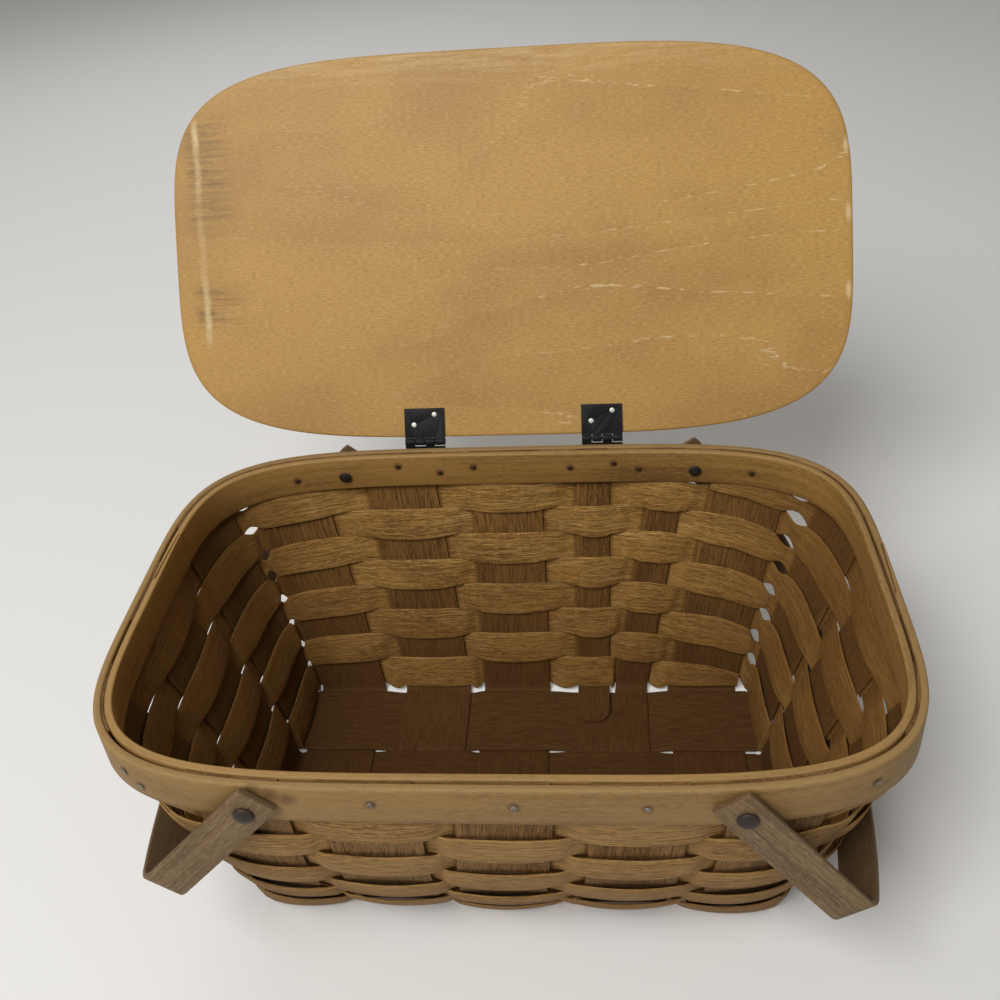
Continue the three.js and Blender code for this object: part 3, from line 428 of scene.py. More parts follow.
class Wall:
    """The leaning wall, square at the floor and rounded at the rim, and the stakes that stand in it."""

    def __init__(self, sizes):
        self.sizes = sizes
        self.rim_top = RIM_HIGH.z
        self.rim_bottom = RIM_LOW.z
        self.top = self.rim_bottom - sizes.weave_rim_gap
        self.band_inset = sizes.stake_thickness / 2 + sizes.band_clearance
        self.band_outside = self.band_inset + sizes.band_thickness
        self.half_length = RIM_HIGH.x - self.band_outside
        self.half_depth = RIM_HIGH.y - self.band_outside
        self.level_step = (sizes.stake_thickness + sizes.splint_gap) / 2
        self.floor_middle = sizes.stake_thickness / 2 + self.level_step
        crosswise = (sizes.crosswise_count - 1) * sizes.crosswise_floor_pitch + sizes.crosswise_width
        lengthwise = (sizes.lengthwise_count - 1) * sizes.lengthwise_floor_pitch + sizes.lengthwise_width
        self.floor_half_length = crosswise / 2 + abs(sizes.crosswise_floor_shift) + sizes.floor_margin
        self.floor_half_depth = lengthwise / 2 + sizes.floor_margin
        self.weave_offset = (sizes.stake_thickness + sizes.weaver_thickness) / 2 + sizes.splint_gap
        self.splice_offset = self.weave_offset + sizes.weaver_thickness + sizes.splint_gap
        self.row_pitch = (self.top - sizes.lowest_row) / sizes.row_count
        self.split = sizes.crosswise_count - 2
        self.stakes = self.ordered_stakes()

    def shape(self, z):
        """The rise up the wall at a height, and the outline's half length and power there."""
        rise = np.clip((z - self.floor_middle) / (self.top - self.floor_middle), 0, 1)
        rounding = rise**self.sizes.rounding_ease
        power = 1 / lerp(1 / self.sizes.floor_squareness, 1 / self.sizes.rim_squareness, rounding)
        half_length = lerp(self.floor_half_length, self.half_length, rise**self.sizes.end_flare)
        return rise, half_length, power

    def depth(self, rise, along, y):
        """Half the wall's depth; the front bulges, and the bulge fades towards the corners."""
        plain = lerp(self.floor_half_depth, self.half_depth, rise)
        fade = 1 - np.abs(along) ** self.sizes.bulge_squareness
        bulge = self.sizes.front_bulge * np.sin(math.pi * rise) * fade
        return plain + np.where(y < 0, bulge, 0)

    def point(self, direction, z):
        """The wall's middle surface in a direction, at a height."""
        direction, z = np.broadcast_arrays(direction, z)
        rise, half_length, power = self.shape(z)
        reach = superellipse(direction, power)
        along = reach * np.cos(direction)
        across = reach * np.sin(direction)
        return np.stack([half_length * along, self.depth(rise, along, across) * across, z], axis=-1)

    def clockwise(self, direction, z):
        """The wall's level tangent, clockwise as seen from above."""
        step = 1e-4
        return unit(self.point(direction - step, z) - self.point(direction + step, z))

    def up(self, direction, z):
        """The wall's upward tangent."""
        step = 0.001
        return unit(self.point(direction, z) - self.point(direction, z - step))

    def normal(self, direction, z):
        """The wall's outward normal."""
        return unit(np.cross(self.up(direction, z), self.clockwise(direction, z)))

    def stake_direction(self, stake, distance, z):
        """The direction of a point at a clockwise distance from a stake's middle."""
        distance, z = np.broadcast_arrays(distance, z)
        rise, half_length, power = self.shape(z)
        centre = stake.centre(rise)
        along = centre / (half_length if stake.out_x == 0 else self.depth(rise, stake.out_x, centre))
        out = (1 - np.abs(along) ** power) ** (1 / power)
        if stake.out_x == 0:
            direction = np.arctan2(stake.out_y * out, along)
        else:
            direction = np.arctan2(along, stake.out_x * out)
        strides = 8
        for _ in range(strides):
            place = self.point(direction, z) + self.clockwise(direction, z) * (distance / strides)[..., None]
            reached = place[..., 0] / half_length
            direction = np.arctan2(place[..., 1] / self.depth(rise, reached, place[..., 1]), reached)
        return direction

    def crosswise_stake(self, side, index):
        """The upright end of a crosswise splint."""
        sizes = self.sizes
        middle = (sizes.crosswise_count - 1) / 2
        steps = index - middle
        drift = sizes.middle_drift if index == middle else 0
        floor_place = sizes.crosswise_floor_shift + drift + steps * sizes.crosswise_floor_pitch
        if side == "back":
            rim_place = sizes.back_rim_shift + drift + steps * sizes.back_rim_pitch
        else:
            rim_place = sizes.front_rim_shift + steps * sizes.front_rim_pitch
        return Stake(side, sizes.crosswise_width, floor_place, rim_place)

    def lengthwise_stake(self, side, index):
        """The upright end of a lengthwise splint."""
        sizes = self.sizes
        steps = (sizes.lengthwise_count - 1) / 2 - index
        floor_place = steps * sizes.lengthwise_floor_pitch
        return Stake(side, sizes.lengthwise_width, floor_place, steps * sizes.lengthwise_rim_pitch)

    def split_stake(self, half):
        """One of the two narrow stakes where a crosswise splint is split at the back."""
        sizes = self.sizes
        whole = self.crosswise_stake("back", self.split)
        floor_place = whole.floor_place + half * sizes.split_floor_spacing / 2
        rim_place = whole.rim_place + half * sizes.split_rim_spacing / 2
        return Stake("back", sizes.split_width, floor_place, rim_place)

    def ordered_stakes(self):
        """All stakes clockwise from the back right."""
        crosswise = range(self.sizes.crosswise_count)
        lengthwise = range(self.sizes.lengthwise_count)
        stakes = [self.crosswise_stake("back", crosswise[-1])]
        stakes += [self.lengthwise_stake("right", index) for index in lengthwise]
        stakes += [self.crosswise_stake("front", index) for index in reversed(crosswise)]
        stakes += [self.lengthwise_stake("left", index) for index in reversed(lengthwise)]
        stakes += [self.crosswise_stake("back", index) for index in crosswise[: self.split]]
        return stakes + [self.split_stake(-1), self.split_stake(1)]

    def crosswise_level(self, crosswise, lengthwise):
        """The height of a crosswise splint's middle where it crosses a lengthwise one on the floor."""
        over = (crosswise + lengthwise) % 2 == 1
        return self.floor_middle + (self.level_step if over else -self.level_step)


def strip_rings(grid, thickness):
    """Rings of a thin strip from its middle surface's points; the first half of each faces inwards."""
    normal = unit(np.cross(np.gradient(grid, axis=0), np.gradient(grid, axis=1)))
    shift = normal * (EDGE_THICKNESS * thickness / 2)[:, None]
    return np.concatenate([grid + shift, (grid - shift)[:, ::-1]], axis=1)


def rough_edges(grid, amount, seed):
    """The strip's points with both edges made a little uneven along its length."""
    across = unit(grid[:, -1] - grid[:, 0])
    middle = grid[:, grid.shape[1] // 2]
    run = distances(middle)
    for edge in (-1, 1):
        slow = np.array([noise.noise((place * SLOW_WAVES, seed * EDGE_SEED_STEP, edge)) for place in run])
        quick = np.array([noise.noise((place * QUICK_WAVES, seed, edge)) for place in run])
        drift = (slow + quick / 2) * amount
        reach = np.clip(edge * ACROSS, 0, 1) ** 3
        grid = grid + drift[:, None, None] * reach[:, None] * across[:, None]
    return grid


def wall_part(wall, stake, towards, floor_level):
    """A splint's points down the wall, with its width running clockwise where towards is 1."""
    top = wall.rim_top - wall.sizes.stake_drop
    z = np.linspace(top, floor_level + wall.sizes.bend_rise, WALL_STEPS)[:, None]
    distance = towards * ACROSS[None, :] * stake.width / 2
    return wall.point(wall.stake_direction(stake, distance, z), z)


def bend_part(wall, stake, towards, floor_edges, floor_level):
    """A splint's points round the bend from the wall to the floor."""
    sizes = wall.sizes
    height = np.full(len(ACROSS), floor_level + sizes.bend_rise)
    direction = wall.stake_direction(stake, towards * ACROSS * stake.width / 2, height)
    start = wall.point(direction, height)
    up = wall.up(direction, height)
    corner = start - up * (sizes.bend_rise / up[:, 2:])
    finish = corner - np.array([stake.out_x, stake.out_y, 0]) * sizes.bend_reach
    finish[:, 0 if stake.out_x == 0 else 1] = floor_edges
    share = np.linspace(0, 1, BEND_STEPS)[1:, None, None]
    return (1 - share) ** 2 * start + 2 * share * (1 - share) * corner + share**2 * finish


def floor_part(crossings, edges_at, along_y):
    """A splint's points along the floor, over and under the splints that it crosses."""
    stations = []
    for middle, half, level in crossings:
        if stations:
            last_run, last_level = stations[-1]
            for share in (0.33, 0.67):
                stations.append((lerp(last_run, middle + half, share), lerp(last_level, level, ease(share))))
        stations += [(middle + half * share, level) for share in np.linspace(1, -1, 9)]
    rows = []
    for run, level in stations:
        edges = edges_at(run)
        runs = np.full_like(edges, run)
        places = (edges, runs) if along_y else (runs, edges)
        rows.append(np.stack([*places, np.full_like(edges, level)], axis=-1))
    return np.array(rows)


def splint_grid(wall, first, second, crossings, edges_at, along_y):
    """A splint's points down one wall, along the floor and up the other wall."""
    first_level = crossings[0][2]
    last_level = crossings[-1][2]
    return np.concatenate([
        wall_part(wall, first, 1, first_level),
        bend_part(wall, first, 1, edges_at(crossings[0][0] + crossings[0][1]), first_level),
        floor_part(crossings, edges_at, along_y),
        bend_part(wall, second, -1, edges_at(crossings[-1][0] - crossings[-1][1]), last_level)[::-1],
        wall_part(wall, second, -1, last_level)[::-1],
    ])


def crosswise_grid(wall, index):
    """The points of a splint from the back wall to the front wall."""
    sizes = wall.sizes
    is_split = index == wall.split
    front = wall.crosswise_stake("front", index)
    back = wall.split_stake(1) if is_split else wall.crosswise_stake("back", index)
    crossings = []
    for crossed in range(sizes.lengthwise_count):
        middle = wall.lengthwise_stake("right", crossed).floor_place
        crossings.append((middle, sizes.lengthwise_width / 2, wall.crosswise_level(index, crossed)))
    narrow_end = crossings[0][0] + crossings[0][1] - sizes.split_tail * SPLIT_REACH

    def edges_at(run):
        widening = ease(np.clip((narrow_end - run) / sizes.split_widening, 0, 1))
        centre = lerp(back.floor_place, front.floor_place, widening)
        return centre + ACROSS * lerp(back.width, front.width, widening) / 2

    return splint_grid(wall, back, front, crossings, edges_at, True)


def lengthwise_grid(wall, index):
    """The points of a splint from the right end wall to the left end wall."""
    sizes = wall.sizes
    right = wall.lengthwise_stake("right", index)
    left = wall.lengthwise_stake("left", index)
    crossings = []
    for crossed in reversed(range(sizes.crosswise_count)):
        middle = wall.crosswise_stake("front", crossed).floor_place
        level = 2 * wall.floor_middle - wall.crosswise_level(crossed, index)
        crossings.append((middle, sizes.crosswise_width / 2, level))

    def edges_at(run):
        return right.floor_place - ACROSS * (right.width / 2 + sizes.lengthwise_floor_swell)

    return splint_grid(wall, right, left, crossings, edges_at, False)


def added_stake_grid(wall):
    """The points of the narrow stake added beside the split one, whose tail lies on the floor."""
    sizes = wall.sizes
    stake = wall.split_stake(-1)
    level = wall.crosswise_level(wall.split, 0) + sizes.stake_thickness + sizes.splint_gap
    start = wall.lengthwise_stake("right", 0).floor_place + sizes.lengthwise_width / 2
    tip = start - sizes.split_tail
    radius = stake.width / 2
    turn = np.linspace(0, math.pi / 2 * SHORT_OF_TIP, 8)
    tail = [(start, 1), (lerp(start, tip + radius, 0.5), 1)]
    tail += [(tip + radius - radius * math.sin(step), math.cos(step)) for step in turn]
    rows = []
    for run, share in tail:
        edges = stake.floor_place + ACROSS * radius * share
        rows.append(np.stack([edges, np.full_like(edges, run), np.full_like(edges, level)], axis=-1))
    edges = stake.floor_place + ACROSS * radius
    return np.concatenate([
        wall_part(wall, stake, 1, level),
        bend_part(wall, stake, 1, edges, level),
        np.array(rows),
    ])


class Weave:
    """The spiral weave, counted in crossings: inside the even stakes and outside the odd ones."""

    def __init__(self, wall):
        self.wall = wall
        self.sizes = wall.sizes
        self.total = len(wall.stakes)

    def ends(self):
        """First and last crossings of each strip of the spiral."""
        finish = self.sizes.row_count * self.total + WEAVE_RUN_ON
        return list(zip((WEAVE_START, *SPLICES), (*SPLICES, finish)))

    def stake(self, crossing):
        """The stake at a crossing."""
        return self.wall.stakes[crossing % self.total]

    def row_place(self, course):
        """Rows below the weave's top; the spiral steps down one row round the back right corner."""
        turn = np.floor(course / self.total)
        place = course - turn * self.total
        first_level = 1 - HALF_CROSSING
        stepping = lerp(ROW_DROP_AT_CORNER, 1, place / first_level)
        level = 1 + np.maximum(0, place - self.total + 1) * ROW_DROP_AT_CORNER
        return turn + np.where(place < first_level, stepping, level)

    def is_lowest(self, place):
        """Whether a place, counted in rows, lies in the lowest row."""
        return place > self.sizes.row_count - 0.5

    def heights(self, course, swell, overlap, sag):
        """Heights across the strip along its course, with its reach over its neighbours."""
        place = self.row_place(course)
        top = self.wall.top
        low = np.maximum(self.sizes.lowest_row, top - place * self.wall.row_pitch) + self.sizes.row_gap / 2
        high = np.minimum(top, top - (place - 1) * self.wall.row_pitch) - self.sizes.row_gap / 2
        low = low - np.where(self.is_lowest(place), sag, swell + overlap)
        high = np.minimum(high + swell / 4 + overlap, top + self.sizes.weave_rim_gap / 2)
        return low[:, None] + (high - low)[:, None] * (ACROSS + 1) / 2

    def crown(self, crossing, offset):
        """How far the strip bows out over a stake: more in the low rows, little where a handle rests."""
        sizes = self.sizes
        if offset < 0:
            return sizes.weaver_crown
        if self.stake(crossing).out_x != 0:
            return sizes.end_crown
        return lerp(sizes.outer_crown, sizes.low_crown, crossing / self.total / sizes.row_count)

    def points(self, direction, z, offset):
        """Points of the strip at an offset from the wall, a little cupped across its width."""
        cup = np.sign(offset) * self.sizes.weaver_cup * (1 - ACROSS**2)
        place = self.wall.point(direction, z)
        return place + self.wall.normal(direction, z) * (offset + cup)[..., None]

    def crossing_part(self, crossing, offset):
        """The strip over one stake."""
        share = np.linspace(-1, 1, CROSSING_STEPS)
        bulge = 1 - share**2
        stake = self.stake(crossing)
        overlap = np.full_like(share, self.sizes.weaver_overlap)
        sag = self.sizes.lowest_sag * (SAG_AT_STAKE + (1 - SAG_AT_STAKE) * bulge * (offset > 0))
        swell = self.sizes.weaver_swell * np.sqrt(bulge)
        z = self.heights(crossing + share * HALF_CROSSING, swell, overlap, sag)
        distance = (share * (stake.width / 2 + self.sizes.stake_margin))[:, None]
        direction = self.wall.stake_direction(stake, distance, z)
        crowned = np.sign(offset) * (abs(offset) + self.crown(crossing, offset) * bulge)
        return self.points(direction, z, crowned[:, None]), crowned

    def gap_part(self, crossing, offsets):
        """The strip from one stake to the next, passing through the wall."""
        before = self.stake(crossing)
        after = self.stake(crossing + 1)
        round_corner = before.side != after.side
        share = np.linspace(0, 1, CORNER_STEPS if round_corner else GAP_STEPS)[1:-1]
        course = crossing + lerp(HALF_CROSSING, 1 - HALF_CROSSING, share)
        overlap = self.sizes.weaver_overlap * np.abs(2 * share - 1)
        if round_corner:
            parting = self.sizes.corner_gap * (1 + noise.noise((crossing * HOLE_SEED_STEP, 0, 0)))
            overlap = overlap - parting * np.sin(math.pi * share)
        sag = self.sizes.lowest_sag * lerp(1, SAG_AT_STAKE, (2 * share - 1) ** 2)
        z = self.heights(course, np.zeros_like(share), overlap, sag)
        margin = self.sizes.stake_margin
        start = self.wall.stake_direction(before, before.width / 2 + margin, z)
        finish = self.wall.stake_direction(after, -after.width / 2 - margin, z)
        turn = np.arctan2(np.sin(finish - start), np.cos(finish - start))
        direction = start + turn * share[:, None]
        offset = lerp(offsets[0], offsets[1], ease(share))
        lowest = self.is_lowest(self.row_place(course))
        tuck = np.where(lowest, self.sizes.lowest_tuck * np.sin(math.pi * share), 0)
        tucked = offset[:, None] - tuck[:, None] * ((1 - ACROSS) / 2) ** 2
        return self.points(direction, z, tucked), offset

    def strip_grid(self, first, last):
        """The points of one strip of the spiral, and how far out of the wall each of its stations lies."""

        def offset_at(crossing):
            if crossing % 2 == 0:
                return -self.wall.weave_offset
            return self.wall.splice_offset if crossing == first else self.wall.weave_offset

        parts = []
        for crossing in range(math.ceil(first), math.floor(last) + 1):
            parts.append(self.crossing_part(crossing, offset_at(crossing)))
            if crossing + 1 <= last:
                parts.append(self.gap_part(crossing, (offset_at(crossing), offset_at(crossing + 1))))
        grid = np.concatenate([points for points, _ in parts])
        offset = np.concatenate([offset for _, offset in parts])
        return grid, np.clip(offset / self.wall.weave_offset, -1, 1)


def band_rings(wall, inside, outside, lap_start):
    """Rings of a bent rim band that laps over itself, each end thinned where it lies on the other."""
    sizes = wall.sizes
    share = np.linspace(0, 1, LAP_STEPS)
    lap = lap_start - share * sizes.band_lap
    turn = np.linspace(0, 2 * math.pi - sizes.band_lap - 2 * LAP_STEP, BAND_STEPS)
    directions = np.concatenate([lap, lap_start - sizes.band_lap - LAP_STEP - turn, lap])
    meeting = outside - lerp(sizes.lap_tip, outside - inside - sizes.lap_tip - sizes.splint_gap, share)
    lows = np.concatenate([meeting, np.full(len(turn) + len(share), inside)])
    highs = np.concatenate([np.full(len(share) + len(turn), outside), meeting - sizes.splint_gap])
    height = wall.rim_top - wall.rim_bottom
    rings = []
    for direction, low, high in zip(directions, lows, highs):
        outline = rounded_rectangle(high - low, height, min(sizes.band_round, (high - low) * 0.4))
        place = wall.point(direction, wall.rim_top)
        normal = wall.normal(direction, wall.rim_top)
        ring = place + normal * (outline[:, :1] + (low + high) / 2)
        ring[:, 2] = outline[:, 1] + (wall.rim_top + wall.rim_bottom) / 2
        rings.append(ring)
    trim = np.stack([outline[:, 1] / height + 0.5, (outline[:, 0] > 0).astype(float)], axis=-1)
    return np.array(rings), trim


# Finishes


class Socket:
    """A shader value that takes part in arithmetic; each step adds a Math node."""

    def __init__(self, finish, output):
        self.finish = finish
        self.output = output

    def math(self, operation, *values):
        """A Math node on some values."""
        return self.finish.node("ShaderNodeMath", {"operation": operation}, dict(enumerate(values)))

    def __add__(self, other):
        return self.math("ADD", self, other)

    def __radd__(self, other):
        return self.math("ADD", other, self)

    def __sub__(self, other):
        return self.math("SUBTRACT", self, other)

    def __rsub__(self, other):
        return self.math("SUBTRACT", other, self)

    def __mul__(self, other):
        return self.math("MULTIPLY", self, other)

    def __rmul__(self, other):
        return self.math("MULTIPLY", other, self)

    def __abs__(self):
        return self.math("ABSOLUTE", self)


class Nodes:
    """A node tree, and the nodes that are added to it."""

    def __init__(self, tree):
        self.tree = tree

    def node(self, kind, settings=None, inputs=None, output=0):
        """Adds a node with its settings and the values or links of its sockets."""
        node = self.tree.nodes.new(kind)
        for key, value in (settings or {}).items():
            setattr(node, key, value)
        for key, value in (inputs or {}).items():
            self.feed(node.inputs[key], value)
        return Socket(self, node.outputs[output])

    def feed(self, socket, value):
        """Links or sets one input."""
        if isinstance(value, Socket):
            self.tree.links.new(value.output, socket)
        else:
            socket.default_value = value


def opaque(key):
    """One of the basket's colours with full alpha."""
    return (*getattr(bpy.context.scene.basket_colours, key), 1.0)


class Finish(Nodes):
    """One material, built from nodes."""

    def __init__(self, name):
        self.material = bpy.data.materials.new(name)
        self.material.use_nodes = True
        super().__init__(self.material.node_tree)
        self.shader = self.tree.nodes["Principled BSDF"]

    def surface(self, specular=0.5, **values):
        """Feeds the surface shader's sockets, named in lower case with underscores."""
        self.shader.inputs["Specular IOR Level"].default_value = specular
        for key, value in values.items():
            self.feed(self.shader.inputs[key.replace("_", " ").title()], value)

    def map(self, name):
        """The coordinates of a UV map."""
        return self.node("ShaderNodeUVMap", {"uv_map": name})

    def place(self):
        """The coordinates of the piece itself."""
        return self.node("ShaderNodeTexCoord", output="Object")

    def part(self, vector, axis):
        """One coordinate of a vector: X, Y or Z."""
        return self.node("ShaderNodeSeparateXYZ", None, {0: vector}, axis)

    def vector(self, operation, *values, output=0):
        """A step of vector arithmetic."""
        return self.node("ShaderNodeVectorMath", {"operation": operation}, dict(enumerate(values)), output)

    def noise(self, vector, scale, detail=3.0, roughness=0.55, distortion=0.0):
        """Soft noise, with a separate scale along each coordinate."""
        values = {"Vector": self.vector("MULTIPLY", vector, scale), "Scale": 1.0}
        values.update({"Detail": detail, "Roughness": roughness, "Distortion": distortion})
        return self.node("ShaderNodeTexNoise", None, values)

    def step(self, value, low, high):
        """A smooth step from 0 at low to 1 at high."""
        settings = {"interpolation_type": "SMOOTHSTEP"}
        return self.node("ShaderNodeMapRange", settings, {"Value": value, "From Min": low, "From Max": high})

    def window(self, value, low, full, fade, high):
        """A smooth hill that rises from low to full and falls from fade to high."""
        return self.step(value, low, full) * (1 - self.step(value, fade, high))

    def spot(self, vector, place, radii):
        """A soft oval spot on a flat map."""
        away = self.vector("SUBTRACT", vector, (*place, 0))
        scaled = self.vector("MULTIPLY", away, (1 / radii[0], 1 / radii[1], 0))
        return 1 - self.step(self.vector("LENGTH", scaled, output="Value"), 0.2, 1.0)

    def layer(self, base, key, factor):
        """A colour with one of the basket's colours laid over it by a factor."""
        inputs = {0: factor, 6: base, 7: opaque(key)}
        return self.node("ShaderNodeMix", {"data_type": "RGBA"}, inputs, 2)

    def rust(self, base, places, radius, strength):
        """A colour with a ragged patch in the rust colour round each of some places."""
        here = self.place()
        ragged = self.noise(here, (700, 700, 700), 3) * radius * 0.5
        for place in places:
            away = self.vector("DISTANCE", here, place, output="Value")
            near = 1 - self.step(away + ragged, radius * 0.5, radius * 1.3)
            base = self.layer(base, "rust", near * strength)
        return base

    def bump(self, height, distance, strength):
        """A normal raised by a height."""
        inputs = {"Height": height, "Distance": distance, "Strength": strength}
        return self.node("ShaderNodeBump", None, inputs)


# How far the rust reaches round a nail and a rivet, and how far the dark reddish mark on the rim's front,
# beside the left front rivet, reaches round each point of its line
NAIL_STAIN = 0.0042
RIVET_STAIN = 0.012
DARK_MARK_REACH = 0.007
RIM_DARK_MARK = ((-0.112, -0.1335, 0.177), (-0.104, -0.1335, 0.1735), (-0.096, -0.1335, 0.17))
# The bare nicks on the lid's right edge, and the half sizes of each
LID_NICKS = ((0.2215, -0.055), (0.2225, -0.012), (0.222, 0.038))
NICK_RADII = (0.003, 0.008)
# The rubbed line near the lid's left edge: its distance from the middle, its lean, where it rises and fades
RUB_PLACE = 0.2063
RUB_LEAN = 0.028
RUB_SPAN = (-0.1, -0.08, 0.05, 0.066)
# Where the two smudges beside that line rise and fade
UPPER_SMUDGE = (-0.1, -0.082, -0.035, -0.005)
LOWER_SMUDGE = (0.018, 0.026, 0.044, 0.054)


def middles(*prefixes):
    """The middles of the frame's nodes whose names start so."""
    boxes = [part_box(node) for node in frame["nodes"] if node.startswith(prefixes)]
    return [(low + high) / 2 for low, high in boxes]


def splint_finish(name, wood, streaks, low_shade_strength):
    """Split wood: fibres along the strip, pale streaks, grey outside; painted shade low down, inside the ends,
    behind stakes.
    """
    dark = f"{wood}_dark"
    pale = f"{wood}_pale"
    finish = Finish(name)
    grain = finish.map("grain")
    trim = finish.map("trim")
    across = finish.part(trim, "X")
    outside = finish.part(trim, "Y")
    place = finish.place()
    fibre = finish.noise(grain, (190, 1150, 1), 4, 0.78)
    ribbon = finish.noise(grain, (16, 520, 1), 4, 0.72)
    tone = finish.noise(grain, (9, 22, 1), 2, 0.5)
    streak = finish.step(finish.noise(grain, (22, 700, 1), 4, 0.75), 0.5, 0.6)
    patch = finish.step(finish.noise(grain, (14, 60, 1), 2, 0.5), 0.38, 0.62)
    pores = finish.step(finish.noise(grain, (70, 950, 1), 4, 0.75), 0.51, 0.62)
    base = finish.layer(opaque(dark), wood, finish.step(tone * 0.4 + ribbon * 0.6, 0.39, 0.56))
    base = finish.layer(base, pale, finish.step(fibre, 0.48, 0.62) * (0.3 + streaks * 0.35))
    base = finish.layer(base, pale, streak * patch * streaks)
    base = finish.layer(base, "weathered", outside * finish.step(tone + fibre * 0.6, 0.5, 1.0) * 0.5)
    base = finish.layer(base, dark, pores * 0.65)
    edge = finish.step(abs(across - 0.5), 0.44, 0.5)
    base = finish.layer(base, pale, edge * 0.12)
    # Painted shade: the wood darkens towards the floor
    low_painted_shade = (1 - finish.step(finish.part(place, "Z"), 0.0, 0.14)) * low_shade_strength
    # Painted shade on the inside faces of the end walls
    end_painted_shade = finish.step(abs(finish.part(place, "X")), 0.11, 0.2) * (1 - outside) * 0.72
    base = finish.layer(base, dark, low_painted_shade)
    base = finish.layer(base, dark, end_painted_shade)
    # Painted shade where a strip dives behind a stake, read from the stand map
    stand = finish.part(finish.map("stand"), "X")
    dive_painted_shade = finish.step(stand * (1 - outside * 2), 0.9, 1.0)
    base = finish.layer(base, dark, dive_painted_shade * 0.75)
    relief = fibre * 0.6 + ribbon * 0.4 - pores * 0.4
    normal = finish.bump(relief, 0.0006, 0.8)
    finish.surface(specular=0.2, base_color=base, roughness=0.86 - fibre * 0.22, normal=normal)
    return finish.material


def rim_finish(name, main):
    """A bent rim band: long grain, rubbed pale edges, stains in the grain and round the fasteners, a dark mark
    by a rivet, and painted shade on its inner face and lower edge.
    """
    finish = Finish(name)
    grain = finish.map("grain")
    trim = finish.map("trim")
    height = finish.part(trim, "X")
    outside = finish.part(trim, "Y")
    fibre = finish.noise(grain, (18, 1100, 1), 4, 0.65)
    ribbon = finish.noise(grain, (5, 240, 1), 3, 0.6)
    tone = finish.noise(grain, (7, 24, 1), 3, 0.55)
    mottle = finish.noise(grain, (160, 700, 1), 4, 0.75)
    stain = finish.step(finish.noise(grain, (22, 90, 1), 3, 0.6), 0.6, 0.78)
    shade = finish.step(tone * 0.4 + ribbon * 0.25 + mottle * 0.35, 0.32, 0.56)
    base = finish.layer(opaque("rim_dark"), main, shade)
    # Painted shade on the face that lies against the stakes
    base = finish.layer(base, "rim_dark", (1 - outside) * 0.35)
    base = finish.layer(base, "rim_pale", finish.step(fibre * 0.5 + mottle * 0.5, 0.5, 0.66) * 0.4)
    worn = finish.step(height + (mottle - 0.5) * 0.16, 0.94, 1.0)
    base = finish.layer(base, "rim_pale", worn * 0.4)
    base = finish.layer(base, "rim_dark", stain * 0.45)
    # Painted shade along the band's lower edge
    base = finish.layer(base, "rim_dark", (1 - finish.step(height, 0.0, 0.1)) * 0.4)
    nails = middles("outer_rim_nail", "inner_rim_nail")
    base = finish.rust(base, nails, NAIL_STAIN, 0.75)
    base = finish.rust(base, middles("rivet"), RIVET_STAIN, 0.5)
    # A dark reddish mark on the rim's front beside the left front rivet, laid in the rust colour
    base = finish.rust(base, RIM_DARK_MARK, DARK_MARK_REACH, 0.7)
    relief = fibre * 0.5 + ribbon * 0.5
    normal = finish.bump(relief, 0.0004, 0.5)
    finish.surface(specular=0.35, base_color=base, roughness=0.74 - fibre * 0.2, normal=normal)
    return finish.material


